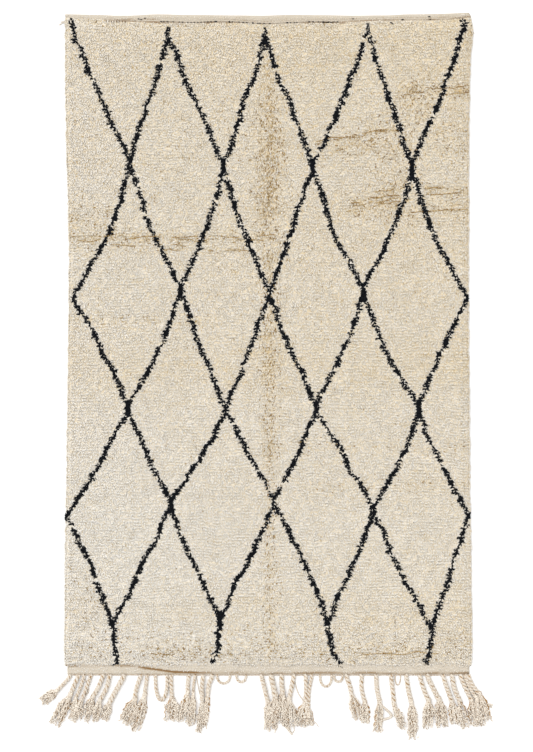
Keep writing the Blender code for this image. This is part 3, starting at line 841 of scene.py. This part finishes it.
def pile_height(x, y, depth=None):
    """Height of the pile's surface: rounded at the rim, lumpy, sunk in the folds."""
    if depth is None:
        depth = troughs(x, y)["depth"]
    left, right = side_edges(y)
    from_side = np.minimum(x - left, right - x)
    from_end = np.minimum(pile_start(x) - y, y - PILE_END_Y)
    side = (PILE_HEIGHT - SIDE_HEIGHT) * (1.0 - ease(from_side / SIDE_ROUNDING))
    end = (PILE_HEIGHT - END_HEIGHT) * (1.0 - ease(from_end / END_ROUNDING))
    lumps = noise("broad_lumps", x, y) + noise("small_lumps", x, y)
    return np.clip(PILE_HEIGHT - np.maximum(side, end) - depth + lumps, *PILE_HEIGHT_RANGE)


def leg_places(y, start, end, number):
    """Place across the rug of one lattice line, and whether it reaches so far."""
    top = (start["y"] - start["stem"]) * MM
    bottom = (end["y"] + CROSSING_JOIN) * MM
    inner = np.clip((top - y) / (top - bottom), 0.0, 1.0)
    bow = start["bow_left"] if end["x"] < start["x"] else start["bow_right"]
    arch = np.sin(math.pi * inner)
    place = (start["x"] + (end["x"] - start["x"]) * inner + bow * arch) * MM
    wander = noise("leg_wave", y, number) + noise("leg_ripple", y, number)
    return place + wander * np.sqrt(arch), (y <= start["y"] * MM) & (y >= end["y"] * MM)


def lattice_legs():
    """Every line between two crossings, and the stems under the last row."""
    return [(start, end) for upper, lower in zip(LATTICE, LATTICE[1:])
            for start in upper for end in lower
            if abs(end["x"] - start["x"]) < LONGEST_SPAN]


def dark_wool(x, y):
    """How far places lie inside the dark wool, and their offset from its line.

    Each line is a string of ragged blobs, widest at their middles, a few of them thin.
    """
    inside, offset = np.full(x.shape, -1.0), np.zeros(x.shape)
    for number, (start, end) in enumerate(lattice_legs()):
        place, reached = leg_places(y, start, end, number)
        step, width, gap = np.random.default_rng(900 + number).uniform(-1.0, 1.0, (3, 256))
        turn = y / BLOB_PITCH + 0.37 * number
        blob = np.floor(turn).astype(int) % 256
        bulge = 1.0 - 2.0 * np.abs(turn - np.floor(turn) - 0.5)
        half = BLOB_ENDS + BLOB_BULGE * ease(1.6 * bulge) + BLOB_SPREAD * width[blob]
        half = np.where(gap[blob] > THIN_LEVEL, THIN_BLOB, half)
        if start["stem"] > CROSSING_JOIN:
            down = ease((start["y"] * MM - y) / STEM_POINT)
            half = half * (STEM_SHARE + (1.0 - STEM_SHARE) * down)
        away = x - place - BLOB_STEP * step[blob]
        depth = np.where(reached, half - np.abs(away), -1.0)
        offset = np.where(depth > inside, away, offset)
        inside = np.maximum(inside, depth)
    for row in STROKES:
        inside = np.maximum(inside, row["half"] * MM - np.hypot(*from_line(x, y, row)))
    return inside, offset


def ivory_shades(x, y, openness, chance):
    """Shade of the light wool, which varies from lock to lock and over the rug, browner in the
    folds as painted shade.
    """
    streak = noise("streaks", x, y * 9.0)
    tint = IVORY_SHADE + noise("broad_tint", x, y) + 0.02 * streak \
        + noise("knot_tint", x, y * 2.6) - 0.12 * ease((streak - 0.45) / 0.3) \
        - BROWNING_UP * y - BROWNING_RIGHT * x - FOLD_PAINTED_SHADE * openness \
        + chance.normal(0.0, 1.0, x.shape) * (IVORY_SPREAD + FOLD_SPREAD * openness)
    for row in BANDS:
        offset = y - row["y"] * MM + noise("band_edge", x, y)
        tint += row["change"] * bell(offset, row["half"] * MM)
    return np.clip(tint, LEAST_IVORY, MOST_IVORY)


def steep_rim(count):
    """Shares from 0 to 1 in even steps, with one more close to either end."""
    shares = np.linspace(0.0, 1.0, count)
    close = shares[1:2] * BED_STEEPNESS
    return np.concatenate([[0.0], close, shares[1:-1], 1.0 - close, [1.0]])


def make_bed(material):
    """The felted wool under the wisps, as one closed lumpy slab."""
    chance = np.random.default_rng(13)
    length = CLOTH_TOP_Y - PILE_END_Y
    across = steep_rim(round(length * CLOTH_SHAPE / BED_STEP))
    along = steep_rim(round(length / BED_STEP))[:, None]
    left, right = side_edges(np.broadcast_to(CLOTH_TOP_Y - length * along,
                                             (along.size, across.size)))
    x = left + BED_INSET + (right - left - 2.0 * BED_INSET) * across
    end = PILE_END_Y + BED_INSET
    y = end + (pile_start(x) - BED_INSET - end) * (1.0 - along)
    folds = troughs(x, y)
    openness = folds["openness"]
    top = pile_height(x, y, folds["depth"]) - BED_DEPTH + chance.normal(0.0, 0.0004, x.shape)
    rim = np.ones(x.shape, dtype=bool)
    rim[1:-1, 1:-1] = False
    top = np.where(rim, GROUND_THICKNESS - BED_SINK, top)
    shade = ivory_shades(x, y, openness, chance)
    # Painted shade: the bed is browner where the folds part the tufts.
    shade = shade - 0.3 * (shade - LEAST_IVORY) * ease((openness - 0.2) / 0.5)
    shade = np.where(dark_wool(x, y)[0] > 0.0, DEEP_DARK, shade)
    height = BED_LEVEL + chance.uniform(-0.05, 0.05, x.shape)
    index = np.arange(x.size).reshape(x.shape)
    sides = np.stack([index[1:-2, 0], index[1:-2, -1], index[2:-1, -1], index[2:-1, 0]], -1)
    first = np.concatenate([index[0, :], index[1, [-1, 0]]])[None, :]
    last = np.concatenate([index[-2, [0, -1]], index[-1, ::-1]])[None, :]
    return new_piece("pile_bed", np.stack([x, y, top], -1).reshape(-1, 3),
                     [grid_faces(index), sides, first, last], material,
                     uvs=np.stack([shade, height], -1).reshape(-1, 2))


# ---- The wisps ----


def wisp_places(chance):
    """Where wisps lie, in rows that waver, and which of them fuzz the bare ground."""
    y, x = np.meshgrid(np.arange(CLOTH_TOP_Y + 0.01, CLOTH_END_Y - 0.01, -WISP_ROW_PITCH),
                       np.arange(-0.77, 0.77, WISP_PITCH), indexing="ij")
    x, y = x.ravel(), y.ravel()
    waver = noise("row_wave", x, y * 0.25) \
        + (0.0018 + 0.0030 * ease((-0.85 - y) / 0.12)) * noise("row_ripple", x, y * 0.6)
    order = ROW_ORDER + ROW_ORDER_GAIN * ease((0.5 - y) / 0.5) + noise("row_order", x, y)
    x = x + chance.normal(0.0, WISP_JITTER, x.size)
    y = y + waver + chance.normal(0.0, 1.0, y.size) * (ROW_LOOSENESS - ROW_TIGHTENING * order)
    depth = inside_pile(x, y)
    left, right = side_edges(y)
    on_ground = np.minimum.reduce([x - left, right - x, hem_edge(x) - y, y - CLOTH_END_Y])
    fuzz = (on_ground > 0.004) & (depth < PLANTING_DEPTH) \
        & (chance.uniform(0.0, 1.0, x.size) < FUZZ_SHARE)
    kept = fuzz | (depth > PLANTING_DEPTH)
    return x[kept], y[kept], fuzz[kept]


def brown_wisps(x, y, fuzz, dark, chance):
    """Which wisps are specks of brown wool, and which are brown: those and the fuzz on shadow
    lines, as painted shade.
    """
    share = SPECK_SHARE * (0.15 + 0.85 * ease((y + 0.2) / 0.9)) \
        * ease(0.5 + noise("speck_patches", x, y * 3.0))
    speck = (chance.uniform(0.0, 1.0, x.size) < share) & ~dark
    return speck, speck | fuzz & (shadow_lines(x, y) > chance.uniform(0.10, 0.55, x.size))


def wisp_ways(x, y, folds, dark_lean, chance):
    """The way each wisp lies: towards the fringe, out of folds and over the sides."""
    angle = -0.25 * TURN + noise("broad_sway", x, y) + noise("lock_sway", x, y)
    lean_x = np.cos(angle) + PARTING_LEAN[0] * folds["part_x"] + dark_lean
    lean_y = np.sin(angle) + PARTING_LEAN[1] * folds["part_y"]
    left, right = side_edges(y)
    outward = np.where(x - left < right - x, -1.0, 1.0)
    from_side = np.minimum(x - left, right - x)
    lean_x += outward * SIDE_LEAN * (1.0 - ease(from_side / SIDE_LEAN_WIDTH))
    stray = chance.normal(0.0, STRAY, x.size) * (1.0 - 0.5 * ease(2.0 * folds["openness"]))
    angle = np.arctan2(lean_y, lean_x) + stray
    return np.stack([np.cos(angle), np.sin(angle)], -1), from_side


def make_wisps(material):
    """The wisps that the tufts fray into, in a few meshes from hem to fringe."""
    chance = np.random.default_rng(11)
    x, y, fuzz = wisp_places(chance)
    count = x.size
    folds = troughs(x, y)
    openness = folds["openness"]
    darkness, offset = dark_wool(x, y)
    dark = darkness > chance.normal(0.0, DARK_RAGGEDNESS, count)
    speck, brown = brown_wisps(x, y, fuzz, dark, chance)
    dark_lean = dark * DARK_LEAN * np.clip(offset / DARK_LEAN_WIDTH, -1.0, 1.0)
    way, from_side = wisp_ways(x, y, folds, dark_lean, chance)

    # Brown wisps: specks of brown wool, and fuzz painted with the shade of the shadow lines.
    shade = np.where(brown, SPECK_PALENESS * speck + chance.uniform(0.0, MOST_BROWN, count),
                     ivory_shades(x, y, openness, chance))
    shade = np.where(dark, chance.uniform(DARK_SHADE, 1.0, count), shade)

    length = WISP_LENGTH * np.clip(chance.normal(1.0, WISP_SPREAD, count), 0.5, 1.5)
    inward = ease(from_side / SIDE_LENGTH_WIDTH)
    length = length * (SIDE_LENGTH + (1.0 - SIDE_LENGTH) * inward)
    length = length * np.where(brown, BROWN_LENGTH, 1.0)
    length = length * (1.0 + 0.5 * ease((openness - 0.2) / 0.5))
    length = length * np.where(dark, DARK_LENGTH, 1.0)
    half = WISP_HALF_WIDTH * np.clip(chance.normal(1.0, WISP_SPREAD, count), 0.6, 1.4)
    half = half * np.where(brown, BROWN_WIDTH, 1.0) * np.where(dark, DARK_WIDTH, 1.0)
    length, half = (size * np.where(fuzz, FUZZ_SIZE, 1.0) for size in (length, half))

    coarse = np.maximum(ease((-0.90 - y) / 0.14), ease(1.6 * openness))
    coarse = np.clip(0.30 + 0.70 * coarse + noise("coarseness", x, y), 0.15, 1.2)
    coarse = coarse * (1.0 + 0.7 * ease(openness / 0.6))
    beside_dark = np.clip(1.0 + darkness / DARK_TRENCH_WIDTH, 0.0, 1.0) * ~dark
    surface = pile_height(x, y, folds["depth"])
    level = surface + chance.normal(0.0, 0.0005, count) * coarse \
        + DARK_RISE * dark + SPECK_RISE * speck - DARK_TRENCH * beside_dark
    level = np.where(fuzz, ground_top(x, y) + FUZZ_LEVEL, level)
    place = np.stack([x, y], -1)
    ahead = pile_height(*(place + way * length[:, None]).T)
    climb = np.where(fuzz, 0.0, np.clip(ahead - surface, LEAST_CLIMB, MOST_CLIMB))
    aside = np.stack([-way[:, 1], way[:, 0]], -1) \
        * (chance.normal(0.0, 0.10, count) * length)[:, None]
    rise = chance.normal(0.0, 0.0006, count) + 0.0003 * coarse + (1.0 - ROOT_SHARE) * climb
    root = np.column_stack([place - way * (ROOT_SHARE * length)[:, None],
                            level - ROOT_DEPTH - ROOT_SHARE * climb])
    middle = np.column_stack([place + aside, level - 0.0003 * coarse])
    tip = np.column_stack([place + way * ((1.0 - ROOT_SHARE) * length)[:, None],
                           level + rise])
    # With them go the rim wisps and the brown wisps of painted shadow along the creases.
    wisps = [np.concatenate(parts) for parts in zip(
        (root, middle, tip, half, shade), rim_wisps(chance), crease_shadow_wisps(chance))]
    order = np.argsort(-wisps[1][:, 1], kind="stable")
    return [wisp_mesh(f"pile_{number + 1}", *(values[part] for values in wisps), material)
            for number, part in enumerate(np.array_split(order, PILE_PIECES))]


def rim_wisps(chance):
    """Wisps that hang down over the pile's side edges: roots, middles, tips and so on."""
    count = int((CLOTH_TOP_Y - PILE_END_Y) / RIM_PITCH)
    y = np.tile(np.linspace(PILE_END_Y + 0.002, CLOTH_TOP_Y - 0.012, count), 2)
    y = y + chance.normal(0.0, 0.001, y.size)
    outward = np.repeat([-1.0, 1.0], count)
    left, right = side_edges(y)
    edge = np.where(outward < 0.0, left, right)
    reach = RIM_REACH + noise("rim_reach", y, outward) + chance.normal(0.0, 0.0007, y.size)
    highest = pile_height(edge - outward * 0.0055, y, 0.0) - 0.0012
    level = RIM_LEVEL + (highest - RIM_LEVEL) * chance.uniform(0.0, 1.0, y.size) ** 0.6
    drop = np.minimum(chance.uniform(0.003, 0.007, y.size), level - 0.001)
    sway = chance.normal(0.0, RIM_SWAY, y.size)
    root = np.column_stack([edge - outward * 0.0065, y, level - 0.0020])
    middle = np.column_stack([edge + outward * (reach - 0.0020), y + 0.4 * sway,
                              level + 0.0004])
    tip = np.column_stack([edge + outward * reach, y + sway, level - drop])
    half = WISP_HALF_WIDTH * chance.uniform(0.7, 1.2, y.size)
    shade = ivory_shades(edge, y, np.zeros_like(y), chance)
    dark = dark_wool(edge - outward * 0.004, y)[0] > 0.0
    return root, middle, tip, half, np.where(dark, DEEP_DARK, shade)


def crease_shadow_places(chance):
    """Places of painted shadow along the creases and strewn near them, each with its angle and
    paleness.
    """
    places = []
    for number, row in enumerate(TROUGHS):
        start, along, reach = line_of(row)
        place = np.arange(0.0, reach, CREASE_STEP)
        for crease in range(row["creases"]):
            level = (crease - 0.5 * (row["creases"] - 1)) * row["gap"] * MM
            key = 3.7 * crease + 11.3 * number
            offset = level + noise("crease_wave", place, key) + noise("crease_ripple", place, key)
            breaks = CREASE_BREAKS + OUTER_BREAKS * (level != 0.0)
            line = beside(start, along, place, offset)
            slope = np.gradient(line, axis=0)
            pale = SPECK_PALENESS * (0.5 + noise("crease_shade", place, key))
            spots = np.column_stack([line, np.arctan2(slope[:, 1], slope[:, 0]), pale])
            places.append(spots[noise("crease_gaps", place, key) > breaks])
        count = round(row["dashes"] * reach)
        place = chance.uniform(0.0, reach, count)
        offset = chance.normal(0.0, DASH_SPREAD * row["half"] * MM, count)
        angle = math.atan2(along[1], along[0]) + chance.normal(0.0, 0.35, count)
        places.append(np.column_stack([beside(start, along, place, offset), angle,
                                       np.full(count, DASH_PALENESS)]))
    places = np.concatenate(places)
    x, y = places.T[:2]
    return places[(inside_pile(x, y) > 0.004) & (dark_wool(x, y)[0] < 0.001)].T


def crease_shadow_wisps(chance):
    """Thin brown wisps of painted shadow along and near the creases: roots, middles and so on."""
    x, y, angle, pale = crease_shadow_places(chance)
    angle = angle + chance.normal(0.0, 0.2, x.size)
    level = pile_height(x, y) + CREASE_LEVEL + chance.normal(0.0, 0.0003, x.size)
    half_length = 0.5 * CREASE_WISP * chance.uniform(0.7, 1.3, x.size)
    reach_x, reach_y = half_length * np.cos(angle), half_length * np.sin(angle)
    root = np.column_stack([x - reach_x, y - reach_y, level - 0.001])
    tip = np.column_stack([x + reach_x, y + reach_y, level - 0.001])
    half = CREASE_HALF_WIDTH * chance.uniform(0.7, 1.2, x.size)
    shade = pale + chance.uniform(0.0, MOST_BROWN, x.size)
    return root, np.column_stack([x, y, level]), tip, half, shade


def wisp_mesh(name, root, middle, tip, half, shade, material):
    """Wisps that taper to a point at both ends, each bent once, as one mesh."""
    count = len(root)
    way = unit(tip - root)
    side = unit(np.cross(way, [0.0, 0.0, 1.0])) * half[:, None]
    up = np.cross(side, way)
    points = np.stack([root, middle + 0.6 * up, middle - 0.45 * up - side,
                       middle - 0.45 * up + side, tip], 1).reshape(-1, 3)
    first = 5 * np.arange(count)[:, None]
    tris = np.concatenate([first + corners for corners in
                           ([0, 2, 1], [0, 3, 2], [0, 1, 3], [4, 1, 2], [4, 2, 3], [4, 3, 1])])
    sway = np.array([0.0, -0.004, 0.004, 0.0, 0.0])
    # Heights (v) pick each corner's colour: the root and the two lower corners take more of the
    # roots' painted shade.
    heights = np.broadcast_to([0.05, 0.66, 0.40, 0.40, 0.95], (count, 5))
    uvs = np.stack([shade[:, None] + sway, heights], -1).reshape(-1, 2)
    return new_piece(name, points, [tris], material, uvs=uvs)


# ---- Yarns ----


class Yarns:
    """Tubes gathered into one mesh."""

    def __init__(self):
        self.points, self.quads, self.tris, self.tones = [], [], [], []
        self.total = 0

    def tube(self, path, radii, sides=6, tone=0.0, axis=None):
        """A closed tube along a path; where it faces its axis it is in the valley, toned with
        painted shade.
        """
        path = np.array(path, dtype=float)
        count = len(path)
        radii = np.broadcast_to(radii, count)
        path[:, 2] = np.maximum(path[:, 2], radii + FLOOR_GAP)
        way = unit(np.gradient(path, axis=0))
        side = unit(np.cross(way, [0.0, 0.0, 1.0]))
        up = np.cross(side, way)
        angles = (np.arange(sides) * TURN / sides)[None, :, None]
        spokes = np.cos(angles) * side[:, None, :] + np.sin(angles) * up[:, None, :]
        rings = path[:, None, :] + spokes * radii[:, None, None]
        shades = np.broadcast_to(tone, count)[:, None] + np.zeros(sides)
        # Painted shade: the tone rises where the yarn faces its cord's axis, broken up along it.
        if axis is not None:
            facing = np.einsum("nsk,nk->ns", spokes, unit(axis - path))
            breaks = ease(0.5 + noise("valley_breaks", path[:, 0], path[:, 1]))
            shades += ease((facing + 0.10) / 0.6) * (0.2 + 0.8 * breaks[:, None])
        index = self.total + np.arange(count * sides).reshape(count, sides)
        turned = np.roll(index, -1, axis=1)
        self.quads.append(np.stack([index[:-1], turned[:-1], turned[1:], index[1:]],
                                   -1).reshape(-1, 4))
        first = self.total + count * sides
        self.tris.append(np.stack([turned[0], index[0], np.full(sides, first)], -1))
        self.tris.append(np.stack([index[-1], turned[-1], np.full(sides, first + 1)], -1))
        self.points += [rings.reshape(-1, 3), path[:1], path[-1:]]
        self.tones += [shades.ravel(), shades[[0, -1], 0]]
        self.total += count * sides + 2

    def ply(self, path, width, pitch, phase, sides=7):
        """A cord of two yarns twisted along a path."""
        way = unit(np.gradient(path, axis=0))
        steps = np.linalg.norm(np.diff(path, axis=0), axis=1)
        run = np.concatenate([[0.0], np.cumsum(steps)])
        side = np.cross(way, [0.0, 0.0, 1.0])
        up = np.cross(side, way)
        loose = noise("loose_twist", run, phase)
        for start in (0.0, 0.5):
            turn = (TURN * (run / pitch + start) + phase + loose)[:, None]
            strand = path + width * (PLY_ACROSS * np.cos(turn) * side
                                     + PLY_UP * np.sin(turn) * up)
            self.tube(strand, width * PLY_RADIUS, sides=sides, tone=PLY_TONE, axis=path)

    def piece(self, name, material):
        """The gathered tubes as one object."""
        return new_piece(name, np.concatenate(self.points),
                         [np.concatenate(self.quads), np.concatenate(self.tris)],
                         material, tone=np.clip(np.concatenate(self.tones), 0.0, 1.0))


def smooth_path(points, step):
    """A smooth curve through the points, sampled about every step."""
    points = np.asarray(points, dtype=float)
    padded = np.concatenate([2.0 * points[:1] - points[1:2], points,
                             2.0 * points[-1:] - points[-2:-1]])
    samples = []
    for a, b, c, d in zip(padded, padded[1:], padded[2:], padded[3:]):
        count = max(2, int(round(np.linalg.norm(c - b) / step)))
        t = np.linspace(0.0, 1.0, count, endpoint=False)[:, None]
        samples.append(0.5 * (2.0 * b + (c - a) * t + (2.0 * a - 5.0 * b + 4.0 * c - d)
                              * t ** 2 + (3.0 * b - a - 3.0 * c + d) * t ** 3))
    samples.append(points[-1:])
    return np.concatenate(samples)


def frayed_head(yarns, row, chance):
    """A cord's frayed end: curly yarns that fan out of the neck over a heart browned by painted
    shade.
    """
    neck = np.array([row["neck_x"], row["neck_y"]]) * MM
    tip = np.array([row["tip_x"], row["tip_y"]]) * MM
    length = np.linalg.norm(tip - neck)
    way = (tip - neck) / length
    across = np.array([-way[1], way[0]])
    half = row["head"] * MM * HEAD_FULLNESS / 2.0
    count = int(8 + row["head"] * 0.42)
    for number in range(count):
        level = number / (count - 1.0)
        spread = chance.uniform(-1.0, 1.0)
        reach = chance.uniform(0.55, 1.0) if number % 4 else chance.uniform(0.95, 1.08)
        steps = max(7, int(reach * length / HEAD_STEP))
        along = np.linspace(-0.15, reach, steps)
        run = along * length
        swell = 0.30 + 0.70 * ease((along + 0.05) / 0.40)
        curl = chance.uniform(0.0018, 0.0042) * np.sin(
            TURN * run / chance.uniform(0.014, 0.026) + chance.uniform(0.0, 6.28))
        aside = half * swell * spread * 0.88 + curl * ease((along + 0.1) / 0.3)
        crown = (HEAD_CROWN - HEAD_FALL * np.clip(along, 0.0, 1.0)) \
            * math.sqrt(1.0 - 0.6 * spread ** 2)
        ripple = 0.0020 * np.sin(TURN * run / chance.uniform(0.012, 0.022))
        height = 0.0022 + crown * (0.15 + 0.85 * level) + ripple
        radii = chance.uniform(0.0019, 0.0027) * np.linspace(1.0, 0.7, steps)
        # Painted shade: the lower yarns are browner, most of all near the neck.
        deep = (0.66 - 0.64 * ease(level / 0.55)) * (1.0 - 0.75 * ease((along - 0.45) / 0.5))
        place = neck + np.outer(run, way) + np.outer(aside, across)
        yarns.tube(np.column_stack([place, height]), radii, sides=5,
                   tone=deep + chance.uniform(0.0, 0.08))
    for _ in range(int(8 + row["head"] * 0.25)):
        middle = neck + way * length * chance.uniform(0.25, 1.0) \
            + across * half * chance.uniform(-0.9, 0.9)
        bend = chance.uniform(0.0025, 0.0050)
        turn = chance.uniform(0.0, 6.28) + np.linspace(0.0, chance.uniform(3.0, 5.5), 8)
        ring = np.column_stack([middle[0] + bend * np.cos(turn),
                                middle[1] + bend * np.sin(turn),
                                0.012 + 0.002 * np.sin(turn + 1.0)])
        yarns.tube(ring, 0.0019, sides=5, tone=chance.uniform(0.0, 0.1))


def loop_path(row, root_y):
    """The path of an uncut warp loop: down, round and back up."""
    left_x, right_x, end_y = row["left_x"] * MM, row["right_x"] * MM, row["end_y"] * MM
    lift = row["yarn"] * MM * CORD_LIFT
    middle_x, span = (left_x + right_x) / 2.0, (right_x - left_x) / 2.0
    angle = np.linspace(0.0, math.pi, 13)
    reach = (root_y - end_y - lift) * np.sin(angle) ** 0.7
    return smooth_path(np.column_stack([middle_x - span * np.cos(angle), root_y - reach,
                                        np.minimum(lift, ROOT_HEIGHT + reach)]), YARN_STEP)


def make_fringe(plied, frayed):
    """Plied cords with frayed heads, and uncut warp loops."""
    chance = np.random.default_rng(21)
    cords, heads = Yarns(), Yarns()
    root_y = CLOTH_END_Y - 0.001
    left, right = (float(edge) for edge in side_edges(CLOTH_END_Y))
    strip_x = np.arange(left + 0.003, right - 0.003, YARN_STEP)
    strip_y = CLOTH_END_Y - STRIP_WIDTH / 2.0 + noise("strip_wave", strip_x)
    cords.ply(np.column_stack([strip_x, strip_y, np.full_like(strip_x, STRIP_WIDTH / 2.0)]),
              STRIP_WIDTH, 0.011, 0.0, sides=5)
    for row in CORDS:
        width = row["cord"] * MM * CORD_FULLNESS
        root_x, neck_x, neck_y = row["root_x"] * MM, row["neck_x"] * MM, row["neck_y"] * MM
        lift = width * CORD_LIFT
        middle_x = root_x + (neck_x - root_x) * 0.42 + chance.normal(0.0, 0.0025)
        path = smooth_path([(root_x, root_y, ROOT_HEIGHT),
                            (root_x + (neck_x - root_x) * 0.08, root_y - 0.012, lift),
                            (middle_x, (root_y + neck_y) / 2.0, lift),
                            (neck_x, neck_y, lift)], CORD_STEP)
        cords.ply(path, width, width * chance.uniform(1.3, 1.9), chance.uniform(0.0, 6.28))
        frayed_head(heads, row, chance)
    for row in LOOPS:
        width = row["yarn"] * MM * LOOP_FULLNESS
        cords.ply(loop_path(row, root_y), width, width * 1.8, chance.uniform(0.0, 6.28))
    return [cords.piece("fringe_cords", plied), heads.piece("fringe_heads", frayed)]


def rest_height(x, y):
    """Height of whatever lies under places: the pile, the bare cloth or the floor."""
    left, right = side_edges(y)
    on_cloth = (x > left) & (x < right) & (y > CLOTH_END_Y) & (y < CLOTH_TOP_Y)
    height = np.where(inside_pile(x, y) > 0.003, pile_height(x, y),
                      GROUND_THICKNESS + HEM_PLUMPNESS)
    return np.where(on_cloth, height, 0.0)


def make_threads(materials):
    """Loose threads of each wool, and the dark stitches along the hem."""
    gathered = {wool: Yarns() for wool in materials}
    for wool, rows in THREADS.items():
        for row in rows:
            radius = row["yarn"] * MM / 2.0
            points = [(row[f"x{end}"] * MM, row[f"y{end}"] * MM) for end in range(3)]
            places = smooth_path(points, YARN_STEP)
            height = rest_height(*places.T) + radius
            gathered[wool].tube(np.column_stack([places, height]), radius, tone=PLY_TONE)

    def stitched(wool, x, height, radius):
        """A tube along the stitches' line."""
        y = pile_start(x) + STITCH_SET_BACK
        gathered[wool].tube(np.column_stack([x, y, np.broadcast_to(height, x.shape)]), radius,
                            sides=5)

    # The brown yarn under the stitches, partly painted shade along the hem's edge.
    stitched("brown", np.arange(STITCHES[0]["x0"] * MM, STITCHES[-1]["x1"] * MM, 0.005),
             GROUND_THICKNESS + 0.0006, SEAM_YARN)
    for row in STITCHES:
        start, end = row["x0"] * MM, row["x1"] * MM
        count = max(1, round((end - start) / STITCH_PITCH))
        for place in start + (np.arange(count) + 0.5) * (end - start) / count:
            stitched("dark", place + np.linspace(-0.5, 0.5, 4) * STITCH_LENGTH,
                     STITCH_HEIGHTS, row["yarn"] * MM / 2.0)
    return [yarns.piece(f"threads_{wool}", materials[wool])
            for wool, yarns in gathered.items()]


# ---- The stage ----

PHOTO_PIXEL = 0.003722       # metres on the floor to a pixel of the picture
PHOTO_HEIGHT = 752
CAMERA_LENS = 85.0
SENSOR = 36.0
FRAME_MIDDLE_Y = 0.0019
FLOOR_SIZE = 40.0
SKY_STRENGTH = 0.95
SUN_STRENGTH = 1.65
SUN_WIDTH = math.radians(50.0)
SUN_TILT = (math.radians(-24.0), math.radians(-22.0), 0.0)


def make_stage():
    """Pale floor, soft light from above and the camera looking straight down."""
    scene = bpy.context.scene
    scene.view_settings.view_transform = "Standard"
    scene.view_settings.look = "None"
    floor_material = bpy.data.materials.new("floor")
    floor_material.use_nodes = True
    shader = floor_material.node_tree.nodes["Principled BSDF"]
    shader.inputs["Base Color"].default_value = colour(*FLOOR_COLOUR)
    shader.inputs["Roughness"].default_value = 0.9
    bpy.ops.mesh.primitive_plane_add(size=FLOOR_SIZE, location=(0.0, 0.0, -0.0005))
    floor = bpy.context.object
    floor.name = "floor"
    floor.data.materials.append(floor_material)

    world = bpy.data.worlds.new("studio")
    scene.world = world
    world.use_nodes = True
    sky = world.node_tree.nodes["Background"]
    sky.inputs["Color"].default_value = (1.0, 1.0, 1.0, 1.0)
    sky.inputs["Strength"].default_value = SKY_STRENGTH

    light = bpy.data.lights.new("softbox", "SUN")
    light.angle = SUN_WIDTH
    light.energy = SUN_STRENGTH
    lamp = bpy.data.objects.new("softbox", light)
    scene.collection.objects.link(lamp)
    lamp.rotation_euler = SUN_TILT

    camera_data = bpy.data.cameras.new("camera")
    camera_data.lens = CAMERA_LENS
    camera_data.sensor_width = SENSOR
    camera = bpy.data.objects.new("camera", camera_data)
    scene.collection.objects.link(camera)
    height = PHOTO_HEIGHT * PHOTO_PIXEL * CAMERA_LENS / SENSOR
    camera.location = (0.0, FRAME_MIDDLE_Y, height + PILE_HEIGHT)
    scene.camera = camera


# ---- The rug ----

make_stage()
ground = make_ground()
wool = wool_material()
pile = [make_bed(wool), *make_wisps(wool)]
yarns = {row["yarn"]: yarn_material(row) for row in YARNS}
frayed = yarns.pop("frayed")
fringe = make_fringe(yarns["pale"], frayed)
threads = make_threads(yarns)
for piece in [ground, *pile]:
    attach(piece, "root")
    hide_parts("rug_body")
for piece in fringe:
    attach(piece, "root")
    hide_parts("fringe")
for piece in threads:
    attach(piece, "root")
